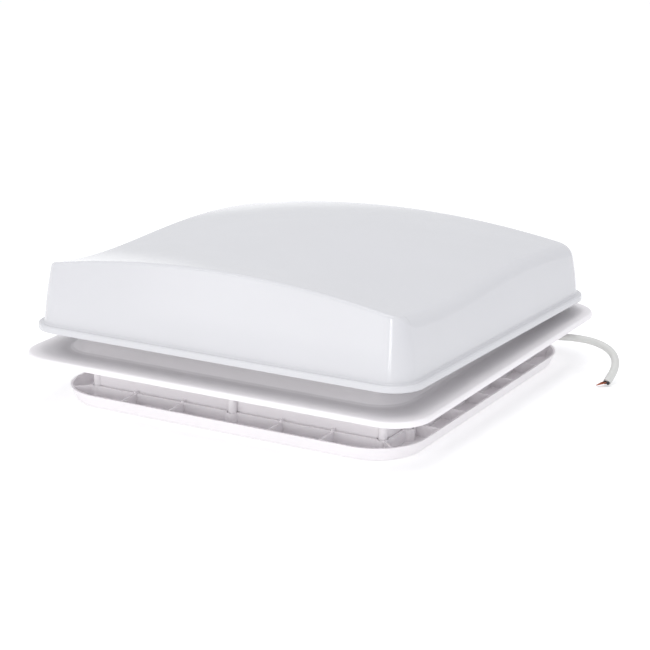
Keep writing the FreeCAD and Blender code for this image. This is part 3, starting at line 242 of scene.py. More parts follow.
# A light is its place, what it aims at, its width and height, its watts and its colour. In turn they
# give the front's even light, the top's, a faint blue on the right-hand faces, the upright highlight
# on the near corner, and the fine line along the lid's front top edge.
LIGHTS = {
    "front_softbox": ((-0.6, -2.5, 0.32), (0, 0, 0.06), (1.8, 0.6), 4.8, (1.0, 0.985, 0.975)),
    "top_softbox": ((0.1, -0.1, 2.2), (0, 0, 0.1), (1.5, 1.5), 13.0, WHITE),
    "right_softbox": ((2.6, -0.5, 0.45), (0, 0, 0.08), (1.3, 0.6), 0.5, (0.35, 0.5, 1.0)),
    "corner_strip": ((0.78, -2.4, 0.36), (0.1, -0.1, 0.1), (0.5, 0.8), 7.0, WHITE),
    "edge_strip": ((-0.8, -1.35, 1.9), (0.0, -0.15, 0.1), (1.2, 0.2), 3.2, WHITE),
}
FLOOR_REACH = 40.0
FLOOR_DROP = 0.2 * MM            # the floor lies just under the part's lowest face
FLOOR_COLOR = (0.93, 0.93, 0.93)
FLOOR_ROUGHNESS = 0.8
FLOOR_GLOW = 0.25                # strength of the white it gives off


def area_light(name, location, target, size, energy, color):
    """A rectangular soft light aimed at a target."""
    data = bpy.data.lights.new(name, "AREA")
    data.shape = "RECTANGLE"
    data.size = size[0]
    data.size_y = size[1]
    data.energy = energy
    data.color = color
    light = bpy.data.objects.new(name, data)
    light.location = location
    light.rotation_euler = (Vector(target) - Vector(location)).to_track_quat("-Z", "Y").to_euler()
    bpy.context.scene.collection.objects.link(light)


def make_floor():
    """A wide pale floor that is not part of the object."""
    reach = FLOOR_REACH
    corners = [(-reach, -reach, 0), (reach, -reach, 0), (reach, reach, 0), (-reach, reach, 0)]
    mesh = bpy.data.meshes.new("floor")
    mesh.from_pydata(corners, [], [(0, 1, 2, 3)])
    floor = bpy.data.objects.new("floor", mesh)
    bpy.context.scene.collection.objects.link(floor)
    floor.location.z = -FLOOR_DROP
    material, _, _, shader, _ = new_material("floor_white")
    shader.inputs["Base Color"].default_value = (*FLOOR_COLOR, 1)
    shader.inputs["Roughness"].default_value = FLOOR_ROUGHNESS
    shader.inputs["Emission Color"].default_value = (*WHITE, 1)
    shader.inputs["Emission Strength"].default_value = FLOOR_GLOW
    floor.data.materials.append(material)


def make_stage():
    """Pale floor, soft lights and an even sky, shown without a film curve."""
    world = bpy.data.worlds.new("studio")
    bpy.context.scene.world = world
    world.use_nodes = True
    background = world.node_tree.nodes["Background"]
    background.inputs["Color"].default_value = (*WORLD_COLOR, 1)
    background.inputs["Strength"].default_value = WORLD_STRENGTH
    bpy.context.scene.view_settings.view_transform = "Standard"
    for name, light in LIGHTS.items():
        area_light(name, *light)
    make_floor()


# ---- helpers for pieces ---------------------------------------------------------------------
def add_piece(name, mesh, slot, body):
    """Put a mesh in the scene with its slot's material, riding on a body."""
    piece = bpy.data.objects.new(name, mesh)
    bpy.context.scene.collection.objects.link(piece)
    piece.data.materials.append(MATERIALS[slot])
    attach(piece, body)
    return piece


def replace_node(name, mesh, node_name, crease):
    """Put a finer mesh in a CAD node's place, with the node's slot and body, smooth up to a crease."""
    piece = add_piece(name, mesh, NODE_SLOT[node_name], frame["nodes"][node_name]["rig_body"])
    smooth(piece, crease)
    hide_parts(node_name)


def face_outward(mesh):
    """Turn every face of a mesh to the outside."""
    work = bmesh.new()
    work.from_mesh(mesh)
    bmesh.ops.recalc_face_normals(work, faces=work.faces)
    work.to_mesh(mesh)
    work.free()


def smooth(piece, angle):
    """Smooth shading, kept crisp at edges sharper than an angle, with normals weighted by face size."""
    piece.data.shade_smooth()
    piece.data.set_sharp_from_angle(angle=math.radians(angle))
    modifier = piece.modifiers.new("weighted_normals", "WEIGHTED_NORMAL")
    modifier.keep_sharp = True
    modifier.weight = 50


def open_with_lid(mesh):
    """Turn a mesh drawn on the closed lid to the lid's rest angle."""
    turn = Matrix.Translation(HINGE) @ Matrix.Rotation(-LID_AJAR, 4, "X") @ Matrix.Translation(-HINGE)
    mesh.transform(turn)


def joined(name, meshes):
    """One mesh from several."""
    work = bmesh.new()
    for mesh in meshes:
        work.from_mesh(mesh)
        bpy.data.meshes.remove(mesh)
    result = bpy.data.meshes.new(name)
    work.to_mesh(result)
    work.free()
    return result


def loft_rings(name, rings, loop=False):
    """Quads between successive rings of equal length, each an (n, 3) array; open lofts are capped."""
    count = len(rings[0])
    last = len(rings) - 1
    vertices = np.concatenate(rings).tolist()
    faces = []
    pairs = [(i, i + 1) for i in range(last)]
    if loop:
        pairs.append((last, 0))
    for low, high in pairs:
        for i in range(count):
            j = (i + 1) % count
            faces.append((low * count + i, low * count + j, high * count + j, high * count + i))
    if not loop:
        faces.append(tuple(reversed(range(count))))
        faces.append(tuple(range(last * count, (last + 1) * count)))
    mesh = bpy.data.meshes.new(name)
    mesh.from_pydata(vertices, [], faces)
    mesh.validate()
    face_outward(mesh)
    return mesh


def circle_angles(count):
    """Evenly spaced angles of one full turn."""
    return np.array([2 * math.pi * i / count for i in range(count)])


def ring_round(centre, heading, radius, count=36):
    """A circle of points about a centre, square to a heading."""
    side = heading.cross(Vector((0, 0, 1)) if abs(heading.z) < 0.9 else Vector((1, 0, 0))).normalized()
    up = side.cross(heading)
    return np.array([centre + side * (radius * math.cos(angle)) + up * (radius * math.sin(angle))
                     for angle in circle_angles(count)])


def spun(name, profile, count=64, lobes=0, lobe_depth=0.0, lobe_from=1.0, centre=(0.0, 0.0)):
    """A closed (radius, z) profile in millimetres turned about an upright axis.

    Where the radius is lobe_from or more, the surface is pressed in between the lobes.
    """
    angles = circle_angles(count)
    rings = []
    for radius, z in profile:
        wave = 0.5 - 0.5 * np.cos(lobes * angles)
        dent = lobe_depth * wave ** 1.6 * (radius >= lobe_from)
        reach = (radius - dent) * MM
        rings.append(np.column_stack([centre[0] + reach * np.cos(angles), centre[1] + reach * np.sin(angles),
                                      np.full(count, z * MM)]))
    return loft_rings(name, rings, loop=True)


def round_square(corner_steps=12, side_steps=36):
    """Points round a square of half side 1 with corners of radius 0.5, counter-clockwise.

    They come as two (n, 2) arrays: the points of the inner square of half side 0.5 that they stand
    over, and the outward steps of length 1 from there.
    """
    points = []
    for quarter in range(4):
        turn = Matrix.Rotation(math.radians(90 * quarter), 2)
        for step in range(side_steps):
            points.append(turn @ Vector((1.0, 0.5 * (2 * step / side_steps - 1))))
        for step in range(corner_steps):
            angle = math.radians(90 * step / corner_steps)
            points.append(turn @ Vector((0.5 + 0.5 * math.cos(angle), 0.5 + 0.5 * math.sin(angle))))
    points = np.array(points)
    inner = np.clip(points, -0.5, 0.5)
    return inner / 0.5, (points - inner) / 0.5


SQUARE_INNER, SQUARE_OUTWARD = round_square()


def level_ring(line, z):
    """A line of (x, y) points at one height."""
    return np.column_stack([line, np.full(len(line), z)])


def nurbs_curve(name, routes, radius, steps=16):
    """A curve object with one smooth spline for each route of points in metres."""
    curve = bpy.data.curves.new(name, "CURVE")
    curve.dimensions = "3D"
    curve.bevel_depth = radius
    curve.bevel_resolution = 6
    curve.use_fill_caps = True
    for route in routes:
        spline = curve.splines.new("NURBS")
        spline.points.add(len(route) - 1)
        for point, place in zip(spline.points, route):
            point.co = (*place, 1)
        spline.order_u = 3
        spline.use_endpoint_u = True
        spline.resolution_u = steps
    piece = bpy.data.objects.new(name, curve)
    bpy.context.scene.collection.objects.link(piece)
    return piece


def finish_curve(piece, slot, replaced):
    """Give a curve on the frame its slot, and let it stand for a CAD node."""
    piece.data.materials.append(MATERIALS[slot])
    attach(piece, "frame")
    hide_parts(replaced)


# ---- lid ------------------------------------------------------------------------------------
LID_SKIN = 2.6 * MM
LID_RIM_Z = 68.0 * MM            # the rim's underside on the closed lid
LID_RIM_TOP = LID_RIM_Z + 6.6 * MM
LID_RIM_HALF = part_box("lid_shell")[1].x
LID_BODY_HALF = LID_RIM_HALF - 6.0 * MM
LID_BODY_HEIGHT = 62.0 * MM      # where the leaning wall gives the line that the top edge is measured on
LID_CORNER_CENTRE = 185.0 * MM   # of the upright corners' rounds
LID_LEAN = math.tan(math.radians(8.0))
LID_WALL_BULGE = 0.8 * MM
LID_CROWN = 16.5 * MM
LID_CROWN_HALF = 189.0 * MM      # where the crown has come down to the height of the profile
FRONT_EDGE = 3.4 * MM            # the lid's front top edge is crisp, its other edges are soft
SIDE_EDGE = 11.0 * MM
LEAST_EDGE = 1.2 * MM
FRONT_EDGE_FROM = 180.0 * MM
FRONT_EDGE_BLEND = 18.0 * MM
RIM_LIP = 2.0 * MM
RIM_COVE = 1.8 * MM
# (y, height over the rim's underside) of the top along the lid's sides
LID_PROFILE = [(-232, 74.0), (-169, 66.8), (-115, 64.2), (-50, 65.8), (10, 69.0), (65, 69.8),
               (130, 67.2), (172, 63.4), (232, 55.0)]
PROFILE_PLACES = np.array(LID_PROFILE) * MM
PROFILE_FIT = np.polynomial.Polynomial.fit(PROFILE_PLACES[:, 0], PROFILE_PLACES[:, 1], 6)


def lid_top(points):
    """Height of the closed lid's top surface over (x, y) points."""
    crown = LID_CROWN * (1 - (points[:, 0] / LID_CROWN_HALF) ** 2)
    return LID_RIM_Z + PROFILE_FIT(points[:, 1]) + crown


def smooth_step(value):
    """Ease from 0 to 1, flat at both ends."""
    value = np.clip(value, 0, 1)
    return value * value * (3 - 2 * value)


def lid_line(half):
    """Points round the lid at a distance from its middle, which may differ from point to point."""
    radius = np.broadcast_to(half - LID_CORNER_CENTRE, len(SQUARE_INNER))
    return SQUARE_INNER * LID_CORNER_CENTRE + SQUARE_OUTWARD * radius[:, None]


def lid_skin_rings(inset, bottom, wall_steps=12, edge_steps=10, top_steps=40):
    """Rings from the foot of the wall up over the edge and across the top to the middle."""
    top_line = lid_line(LID_BODY_HALF - inset - LID_LEAN * LID_BODY_HEIGHT)
    crest = lid_top(top_line) - inset
    towards_front = smooth_step((-top_line[:, 1] - FRONT_EDGE_FROM) / FRONT_EDGE_BLEND)
    edge = np.maximum(SIDE_EDGE + (FRONT_EDGE - SIDE_EDGE) * towards_front - inset, LEAST_EDGE)
    rings = []
    for step in range(wall_steps + 1):
        share = step / wall_steps
        z = bottom + (crest - edge - bottom) * share
        bulge = LID_WALL_BULGE * math.sin(math.pi * share)
        line = lid_line(LID_BODY_HALF - inset - LID_LEAN * (z - LID_RIM_TOP) + bulge)
        rings.append(np.column_stack([line, z]))
    shoulder_half = LID_BODY_HALF - inset - LID_LEAN * (rings[-1][:, 2] - LID_RIM_TOP)
    for step in range(1, edge_steps + 1):
        angle = math.pi / 2 * step / edge_steps
        line = lid_line(shoulder_half - edge * (1 - math.cos(angle)) - LID_LEAN * edge * math.sin(angle))
        rings.append(np.column_stack([line, lid_top(line) - inset - edge * (1 - math.sin(angle))]))
    last = rings[-1][:, :2]
    for step in range(1, top_steps):
        line = last * (1 - step / top_steps)
        rings.append(np.column_stack([line, lid_top(line) - inset]))
    return rings


def quarter_turn(half, z, radius, start, steps=5):
    """Rings round a small rounded edge: (half, z) is the centre of the round, start its first angle."""
    rings = []
    for step in range(steps + 1):
        angle = math.radians(start + 90 * step / steps)
        rings.append(level_ring(lid_line(half + radius * math.cos(angle)), z + radius * math.sin(angle)))
    return rings


def rim_rings(under):
    """Rings from the skin's inner foot down inside the rim, round its lip, up its side and into the wall."""
    inside = LID_RIM_HALF - RIM_LIP
    inner_round = 0.6 * MM
    outer_round = 0.8 * MM
    top_round = 2.0 * MM
    draft = 0.2 * MM
    rings = [level_ring(lid_line(inside - draft), under),
             level_ring(lid_line(inside), under - 0.6 * MM),
             level_ring(lid_line(inside), LID_RIM_Z + 0.4 * MM)]
    rings += quarter_turn(inside + inner_round, LID_RIM_Z + inner_round, inner_round, 180, 3)
    rings += quarter_turn(LID_RIM_HALF - outer_round, LID_RIM_Z + outer_round, outer_round, 270, 3)
    rings += quarter_turn(LID_RIM_HALF - draft - top_round, LID_RIM_TOP - top_round, top_round, 0)
    rings += reversed(quarter_turn(LID_BODY_HALF + RIM_COVE, LID_RIM_TOP + RIM_COVE, RIM_COVE, 180))
    return rings


def make_lid():
    """The moulded cover: outer skin, inner skin, and the outward rim that joins them at the foot."""
    under = LID_RIM_TOP - 2.2 * MM
    inner = lid_skin_rings(LID_SKIN, under)
    outer = lid_skin_rings(0.0, LID_RIM_TOP + 1.1 * RIM_COVE)
    mesh = loft_rings("lid_cover", inner[::-1] + rim_rings(under) + outer)
    open_with_lid(mesh)
    replace_node("lid_cover", mesh, "lid_shell", 50.0)


# ---- lid seal -------------------------------------------------------------------------------
SEAL_INNER = 168.0 * MM
SEAL_OUTER = 178.0 * MM
SEAL_BOTTOM = 86.3 * MM
SEAL_TOP = 90.0 * MM
SEAL_CORNER_CENTRE = 160.0 * MM
SEAL_ROUND = 1.5 * MM            # how far the sides of the bulb curve up
SEAL_GROOVE = 0.35 * MM          # the dip along its middle


def make_seal():
    """Sponge bulb under the lid: a soft D section with a slight dip along its middle."""
    middle = (SEAL_INNER + SEAL_OUTER) / 2
    half = (SEAL_OUTER - SEAL_INNER) / 2
    bevel = 0.3 * MM
    shoulder = SEAL_TOP - 0.5 * MM
    section = [(SEAL_OUTER - bevel, SEAL_TOP), (SEAL_INNER + bevel, SEAL_TOP), (SEAL_INNER, shoulder)]
    for across in np.linspace(-1, 1, 13):
        lift = SEAL_ROUND * abs(across) ** 3 + SEAL_GROOVE * math.exp(-(across / 0.22) ** 2)
        section.append((middle + half * across, SEAL_BOTTOM + lift))
    section.append((SEAL_OUTER, shoulder))
    rings = []
    for reach, z in section:
        line = SQUARE_INNER * SEAL_CORNER_CENTRE + SQUARE_OUTWARD * (reach - SEAL_CORNER_CENTRE)
        rings.append(level_ring(line, z))
    mesh = loft_rings("seal_bulb", rings, loop=True)
    open_with_lid(mesh)
    replace_node("seal_bulb", mesh, "lid_seal", 60.0)


# ---- supply cable ---------------------------------------------------------------------------
CABLE_DIAMETER = 7.0 * MM
CABLE_ROUTE = [(169.5, 150, 35), (188, 150.4, 35), (207, 153.6, 36), (226, 157.8, 36.5),
               (244, 160.5, 35), (259, 160, 31.5), (270.5, 155.5, 26.5), (277.5, 146.5, 20),
               (279, 136, 12), (276.6, 125.6, 4.4)]
CABLE_POINTS = [Vector(place) * MM for place in CABLE_ROUTE]
CABLE_END = CABLE_POINTS[-1]
CABLE_HEADING = (CABLE_END - CABLE_POINTS[-2]).normalized()
CABLE_SIDE = CABLE_HEADING.cross(Vector((0, 0, 1))).normalized()
CABLE_SPREAD = 0.26              # the far end is wider by this share, as its two cores part
CORE_RADIUS = 1.75 * MM
CORE_OFFSET = 1.9 * MM
# (millimetres past the sheath's end, share of the core's radius), from inside the sheath to the cut core
CORE_PROFILE = [(-4.0, 0.3), (-4.0, 1.0), (2.2, 1.0), (2.6, 0.8), (2.4, 0.62), (1.4, 0.55), (1.2, 0.1)]
STRAND_COUNT = 34
STRAND_STEPS = 4
STRAND_RADIUS = 0.27 * MM
STRAND_ROOT = 1.2                # millimetres behind the cut face where the strands start
STRAND_DRIFT = Vector((-8.0, -8.5, -2.6)) * MM
STRAND_CURL = 0.9                # millimetres that a strand may stray by its tip
STRAND_GATHER = 0.72             # share of their spread that the strands lose along their length


def make_cable():
    """The free supply cable with its cores and bared wire."""
    cable = nurbs_curve("supply_cable", [CABLE_POINTS], CABLE_DIAMETER / 2)
    points = cable.data.splines[0].points
    for index, point in enumerate(points):
        point.radius = 1 + CABLE_SPREAD * index / (len(points) - 1)
    finish_curve(cable, "cable_sheath", "power_cable")
    strands = make_copper_strands()
    cores = make_cable_cores()


def make_cable_cores():
    """The two insulated cores that stand a little proud of the sheath's cut face."""
    meshes = []
    for offset in (-CORE_OFFSET, CORE_OFFSET):
        rings = []
        for distance, share in CORE_PROFILE:
            centre = CABLE_END + CABLE_HEADING * distance * MM + CABLE_SIDE * offset
            rings.append(ring_round(centre, CABLE_HEADING, CORE_RADIUS * share, 24))
        meshes.append(loft_rings("core", rings))
    cores = add_piece("cable_cores", joined("cable_cores", meshes), "black_plastic", "frame")
    smooth(cores, 40.0)
    return cores


def make_copper_strands():
    """Bared wire: fine strands that leave the two cores and bunch together to one side."""
    random.seed(7)
    up = CABLE_SIDE.cross(CABLE_HEADING).normalized()
    lowest = STRAND_RADIUS + 0.1 * MM
    routes = []
    for strand in range(STRAND_COUNT):
        angle = random.uniform(0, 2 * math.pi)
        reach = 0.6 * CORE_RADIUS * math.sqrt(random.random())
        core = CABLE_SIDE * (CORE_OFFSET if strand % 2 else -CORE_OFFSET)
        offset = core + CABLE_SIDE * (reach * math.cos(angle)) + up * (reach * math.sin(angle))
        length = random.uniform(0.35, 1.0) ** 0.8
        curl = Vector((random.uniform(-1, 1), random.uniform(-1, 1), random.uniform(-0.4, 1)))
        curl = curl * STRAND_CURL * MM
        points = []
        for step in range(STRAND_STEPS + 1):
            share = step / STRAND_STEPS * length
            place = (CABLE_END - CABLE_HEADING * STRAND_ROOT * MM * (1 - share)
                     + offset * (1 - STRAND_GATHER * share) + STRAND_DRIFT * share)
            place += curl * share ** 2
            place.z = max(place.z, lowest)
            points.append(place)
        routes.append(points)
    strands = nurbs_curve("bared_strands", routes, STRAND_RADIUS, 5)
    strands.data.bevel_resolution = 2
    finish_curve(strands, "copper", "copper_strands")
    return strands


# ---- cable gland ----------------------------------------------------------------------------
# (millimetres along the cable from the neck, radius) of the sleeve in the neck wall and the collar
GLAND_PROFILE = [(-8.0, 2.6), (-8.0, 5.6), (-7.6, 6.0), (0.0, 6.0), (0.0, 8.0), (1.6, 8.0), (2.2, 7.7),
                 (2.4, 7.1), (2.4, 6.2)]
BOOT_START = 2.4
BOOT_LENGTH = 20.0
BOOT_RIBS = 6
BOOT_RADIUS = 6.2                # over the first rib
BOOT_TAPER = 1.9


def cable_line():
    """Points along the cable's smooth line, and their distances from its start."""
    line = nurbs_curve("route_line", [CABLE_POINTS], 0.0)
    mesh = bpy.data.meshes.new_from_object(line)
    points = [vertex.co.copy() for vertex in mesh.vertices]
    bpy.data.meshes.remove(mesh)
    bpy.data.objects.remove(line)
    along = [0.0]
    for before, after in zip(points, points[1:]):
        along.append(along[-1] + (after - before).length)
    return points, along


def boot_profile():
    """(distance, radius) of a tapered boot with flexing grooves between its ribs."""
    pitch = BOOT_LENGTH / BOOT_RIBS
    end = BOOT_START + BOOT_LENGTH
    profile = []
    for rib in range(BOOT_RIBS):
        start = BOOT_START + rib * pitch
        radius = BOOT_RADIUS - BOOT_TAPER * rib / BOOT_RIBS
        profile += [(start + 0.15, radius), (start + 0.62 * pitch, radius - 0.15),
                    (start + 0.66 * pitch, radius - 0.9), (start + 0.96 * pitch, radius - 1.0)]
    return profile + [(end, 4.4), (end + 0.6, 4.1), (end + 0.6, 3.3)]


def make_cable_gland():
    """Cable gland: sleeve through the neck, collar, and a ribbed tapered boot along the cable."""
    points, along = cable_line()
    rings = []
    for distance, radius in GLAND_PROFILE + boot_profile():
        if distance <= 0:
            centre = CABLE_POINTS[0] + Vector((distance * MM, 0, 0))
            heading = Vector((1, 0, 0))
        else:
            index = int(np.searchsorted(along, distance * MM))
            share = (distance * MM - along[index - 1]) / (along[index] - along[index - 1])
            centre = points[index - 1].lerp(points[index], share)
            heading = (points[index] - points[index - 1]).normalized()
        rings.append(ring_round(centre, heading, radius * MM))
    replace_node("gland_boot", loft_rings("gland_boot", rings), "cable_gland", 40.0)


# ---- screws ---------------------------------------------------------------------------------
SCREW_AXES = {
    "trim_screws": "Z", "panel_screws": "Z", "screen_screws": "Z", "knob_screw": "Z", "motor_screws": "Z",
    "foot_screws": "Z", "lid_screws": "Z", "beam_screws": "Z", "crossbar_screws": "X", "housing_screws": "X",
    "motor_bracket_screws": "X", "hinge_bracket_screws": "Y"}
UNIT = {"X": Vector((1, 0, 0)), "Y": Vector((0, 1, 0)), "Z": Vector((0, 0, 1))}
SCREW_POINTS = 28
HEAD_RINGS = 11
CROSS_HALF_WIDTH = 0.15          # shares of the head's radius
CROSS_REACH = 0.56
CROSS_DEPTH = 0.5                # shares of the head's height
HEAD_DOME = 0.42
THREAD_PITCH = 0.9 * MM
THREAD_ROOT = 0.82               # share of the shank's radius
SCREW_TURN = 37.0                # each screw of a group stopped at another angle


def islands(mesh):
    """The separate solids of a CAD node in its mesh's own order, each as an (n, 3) array of points."""
    work = bmesh.new()
    work.from_mesh(mesh)
    bmesh.ops.remove_doubles(work, verts=work.verts, dist=1e-6)
    left = set(work.verts)
    found = []
    for first in work.verts:
        if first not in left:
            continue
        left.remove(first)
        queue = [first]
        island = []
        while queue:
            vertex = queue.pop()
            island.append(vertex.co.copy())
            for edge in vertex.link_edges:
                other = edge.other_vert(vertex)
                if other in left:
                    left.remove(other)
                    queue.append(other)
        found.append(np.array(island))
    work.free()
    return found


def screw_ring(radius, z):
    """A ring about a screw's own axis; radius and height may differ from point to point."""
    angles = circle_angles(SCREW_POINTS)
    return np.column_stack([radius * np.cos(angles), radius * np.sin(angles),
                            np.broadcast_to(z, SCREW_POINTS)])


def screw_rings(head_radius, head_height, shank_radius, length):
    """Rings of a pan-head screw with a cross recess: its top is at z = 0 and its tip points down."""
    angles = circle_angles(SCREW_POINTS)
    rings = []
    for step in range(HEAD_RINGS + 1):
        share = max(step / HEAD_RINGS, 0.02)
        x = np.abs(share * np.cos(angles))
        y = np.abs(share * np.sin(angles))
        in_cross = (np.minimum(x, y) < CROSS_HALF_WIDTH) & (np.maximum(x, y) < CROSS_REACH)
        dome = -HEAD_DOME * head_height * share ** 2.4
        recess = np.where(in_cross, CROSS_DEPTH * head_height, 0.0)
        rings.append(screw_ring(head_radius * share, dome - recess))
    rings.append(screw_ring(head_radius, -0.8 * head_height))
    rings.append(screw_ring(0.96 * head_radius, -head_height))
    rings.append(screw_ring(shank_radius, -head_height))
    turns = max(2, int((length - head_height) / THREAD_PITCH))
    pitch = (length - head_height) / turns
    for turn in range(turns):
        crest = shank_radius * (1.0 if turn < turns - 2 else 0.75)
        z = -head_height - pitch * turn
        rings.append(screw_ring(THREAD_ROOT * crest, z - 0.3 * pitch))
        rings.append(screw_ring(crest, z - 0.65 * pitch))
    rings.append(screw_ring(0.1 * shank_radius, -length))
    return rings


def screw_like(points, across, over, axis):
    """A detailed screw in the place and size of a plain one, given by its points and its axes."""
    u, v, w = (points @ np.array(direction) for direction in (across, over, axis))
    u_mid = (u.min() + u.max()) / 2
    v_mid = (v.min() + v.max()) / 2
    radial = np.hypot(u - u_mid, v - v_mid)
    head_radius = radial.max()
    in_head = w[radial > 0.85 * head_radius]
    head_is_low = in_head.mean() - w.min() < w.max() - in_head.mean()
    top = w.min() if head_is_low else w.max()
    tip = w.max() if head_is_low else w.min()
    head_height = abs(in_head - top).max()
    shank_radius = radial[abs(w - tip) < 0.1 * MM].max()
    mesh = loft_rings("screw", screw_rings(head_radius, head_height, shank_radius, w.max() - w.min()))
    down = axis * (1 if tip > top else -1)
    place = across * u_mid + over * v_mid + axis * top
    return mesh, Matrix.Translation(place) @ down.to_track_quat("-Z", "Y").to_matrix().to_4x4()


def make_screws(node_name, axis_name):
    """Detailed screws in place of a CAD node's plain ones."""
    node = frame["nodes"][node_name]
    axis = UNIT[axis_name].copy()
    if node["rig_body"] == "lid":
        axis.rotate(Matrix.Rotation(-LID_AJAR, 3, "X"))
    across = axis.cross(UNIT["X" if axis_name != "X" else "Y"]).normalized()
    over = axis.cross(across)
    meshes = []
    for points in islands(node.data):
        mesh, placing = screw_like(points, across, over, axis)
        mesh.transform(placing @ Matrix.Rotation(math.radians(SCREW_TURN * len(meshes)), 4, "Z"))
        meshes.append(mesh)
    replace_node(node_name + "_detailed", joined(node_name, meshes), node_name, 38.0)


# ---- fan and motor --------------------------------------------------------------------------
FAN_BLADES = 6
BLADE_ROOT = 20.0                # millimetres from the shaft
BLADE_TIP = 103.2
BLADE_DROP = 1.2                 # the blades hang this much below the middle of the hub
BLADE_CAMBER = 2.4
BLADE_HALF_CHORD = 9.0           # at the root, and how much it gains by the tip
BLADE_CHORD_GAIN = 23.0
BLADE_PITCH = 25.0               # degrees at the root, and how much it loses by the tip
BLADE_TWIST = 10.0
BLADE_THICK = 1.25               # half thickness at the root, and how much it loses by the tip
BLADE_THINNING = 0.45
HUB_PROFILE = [(2.5, 25.0), (16.5, 25.0), (19.0, 25.5), (21.0, 26.9), (21.9, 28.8), (22.0, 30.5),
               (22.0, 40.6), (21.6, 41.0), (19.6, 41.0), (19.2, 40.6), (19.2, 32.4), (18.8, 32.0),
               (6.4, 32.0), (6.0, 32.4), (6.0, 39.6), (5.6, 40.0), (2.5, 40.0)]


def blade_section(share, turn, middle, half_steps=9):
    """Outline of a cambered blade's section at a share of its span, bent round the shaft."""
    radius = BLADE_ROOT + (BLADE_TIP - BLADE_ROOT) * share
    rounding = max(0.0, (share - 0.9) / 0.1)
    half_chord = (BLADE_HALF_CHORD + BLADE_CHORD_GAIN * share ** 0.9) * math.sqrt(1 - 0.8 * rounding ** 2)
    pitch = math.radians(BLADE_PITCH - BLADE_TWIST * share)
    thick = BLADE_THICK - BLADE_THINNING * share
    loop = []
    for side in (1, -1):
        for step in range(half_steps):
            across = side * (1 - 2 * step / half_steps)
            rise = side * thick * math.sqrt(1 - across ** 2) + BLADE_CAMBER * (1 - across ** 2)
            chord = half_chord * across
            angle = (chord * math.cos(pitch) + rise * math.sin(pitch)) / radius + turn
            height = -chord * math.sin(pitch) + rise * math.cos(pitch) - BLADE_DROP
            loop.append((radius * MM * math.cos(angle), radius * MM * math.sin(angle), middle + height * MM))
    return np.array(loop)


def make_fan():
    """Hub and twisted blades with rounded tips."""
    low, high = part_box("fan_blade")
    middle = (low.z + high.z) / 2
    meshes = [spun("hub", HUB_PROFILE)]
    for blade in range(FAN_BLADES):
        turn = 2 * math.pi * blade / FAN_BLADES
        sections = [blade_section(share, turn, middle) for share in np.linspace(0, 1, 23)]
        meshes.append(loft_rings("blade", sections))
    replace_node("fan_impeller", joined("fan_impeller", meshes), "fan_blade", 42.0)


def make_motor():
    """Drawn steel can with a rolled seam, a stepped shoulder and a bearing boss on top."""
    low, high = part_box("fan_motor")
    base = low.z / MM
    top = high.z / MM
    radius = high.x / MM
    nose = [(2.65, base), (8.5, base), (8.5, base + 2.0), (radius - 1.0, base + 2.0), (radius, base + 3.0)]
    seam = [(radius, base + 5.2), (radius - 0.7, base + 5.8), (radius - 0.7, base + 7.4),
            (radius, base + 8.0)]
    shoulder = [(radius, top - 9.4), (radius - 0.6, top - 8.8), (radius - 0.6, top - 7.6),
                (radius - 0.1, top - 7.0), (radius - 0.9, top - 4.9), (radius - 2.6, top - 3.5),
                (radius - 5.0, top - 3.0)]
    boss = [(13.0, top - 3.0), (12.4, top - 3.5), (10.4, top - 3.5), (9.8, top - 3.0), (9.0, top - 2.4),
            (9.0, top - 0.7), (8.3, top), (3.6, top), (3.2, top - 0.6), (0.2, top - 0.6)]
    bore = [(0.2, top - 12.0), (2.65, top - 12.0)]
    replace_node("motor_can", spun("motor_can", nose + seam + shoulder + boss + bore), "fan_motor", 40.0)


# ---- crank knob and insect screen -----------------------------------------------------------
KNOB_LOBES = 8
KNOB_FLUTE_DEPTH = 2.0
KNOB_FLUTES_FROM = 15.0
KNOB_PROFILE = [(3.05, 14.6), (7.6, 14.6), (8.0, 14.2), (8.0, 12.9), (8.4, 12.5), (15.6, 12.4), (17.2, 12.0),
                (18.3, 11.0), (18.7, 9.6), (18.8, 6.0), (18.5, 4.4), (17.6, 3.2), (16.2, 2.6), (9.0, 2.9),
                (7.6, 3.4), (6.4, 3.4), (5.6, 2.9), (4.0, 2.6), (3.6, 2.9), (3.4, 4.0), (1.6, 4.0),
                (1.6, 5.4), (3.05, 5.4)]
MESH_PITCH = 2.6 * MM
MESH_WIRE = 0.17 * MM            # radius of a wire


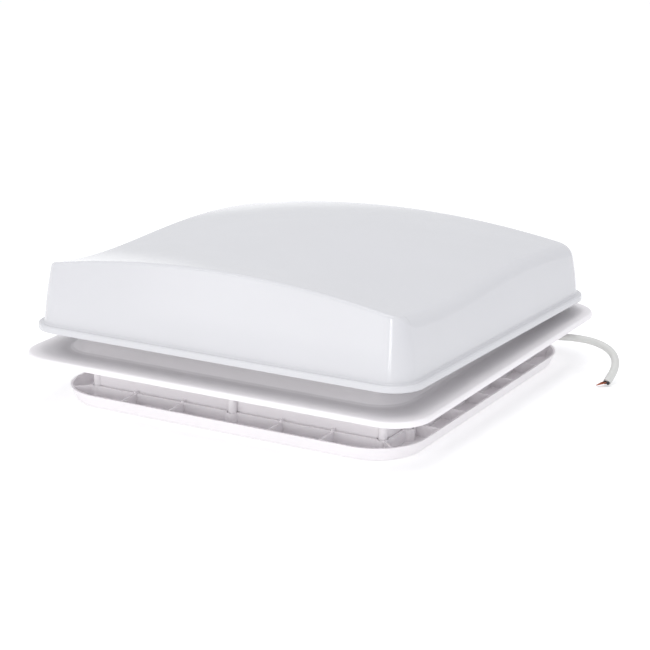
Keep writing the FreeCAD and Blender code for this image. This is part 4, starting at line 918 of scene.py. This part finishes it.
def make_knob():
    """Hand knob with rounded flutes, a dished face and a counterbore for its screw."""
    low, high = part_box("crank_knob")
    centre = ((low.x + high.x) / 2, (low.y + high.y) / 2)
    mesh = spun("knob", KNOB_PROFILE, count=160, lobes=KNOB_LOBES, lobe_depth=KNOB_FLUTE_DEPTH,
                lobe_from=KNOB_FLUTES_FROM, centre=centre)
    replace_node("crank_knob_soft", mesh, "crank_knob", 42.0)


def add_wire(vertices, faces, places, along_x):
    """A four-sided wire through places, along x or along y."""
    first = len(vertices)
    for x, y, z in places:
        for across, up in ((MESH_WIRE, 0), (0, MESH_WIRE), (-MESH_WIRE, 0), (0, -MESH_WIRE)):
            vertices.append((x, y + across, z + up) if along_x else (x + across, y, z + up))
    for ring in range(len(places) - 1):
        for k in range(4):
            a = first + ring * 4 + k
            b = first + ring * 4 + (k + 1) % 4
            faces.append((a, b, b + 4, a + 4))


def make_insect_screen():
    """Plain woven mesh: each wire passes over one crossing wire and under the next."""
    low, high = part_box("insect_mesh")
    middle = (low.z + high.z) / 2
    xs = np.arange(low.x + MESH_PITCH / 2, high.x, MESH_PITCH)
    ys = np.arange(low.y + MESH_PITCH / 2, high.y, MESH_PITCH)
    weave = MESH_WIRE * np.where(np.add.outer(np.arange(len(xs)), np.arange(len(ys))) % 2, 1, -1)
    vertices = []
    faces = []
    for j, y in enumerate(ys):
        places = [(x, y, middle + weave[i, j]) for i, x in enumerate(xs)]
        add_wire(vertices, faces, [(low.x, y, middle)] + places + [(high.x, y, middle)], True)
    for i, x in enumerate(xs):
        places = [(x, y, middle - weave[i, j]) for j, y in enumerate(ys)]
        add_wire(vertices, faces, [(x, low.y, middle)] + places + [(x, high.y, middle)], False)
    mesh = bpy.data.meshes.new("woven_screen")
    mesh.from_pydata(vertices, [], faces)
    face_outward(mesh)
    screen = add_piece("woven_screen", mesh, NODE_SLOT["insect_mesh"], "frame")
    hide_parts("insect_mesh")


make_camera()
make_cable()
make_cable_gland()
make_stage()
paint_frame()
make_lid()
make_seal()
make_fan()
make_motor()
make_knob()
make_insect_screen()
for screw_node, screw_axis in SCREW_AXES.items():
    make_screws(screw_node, screw_axis)
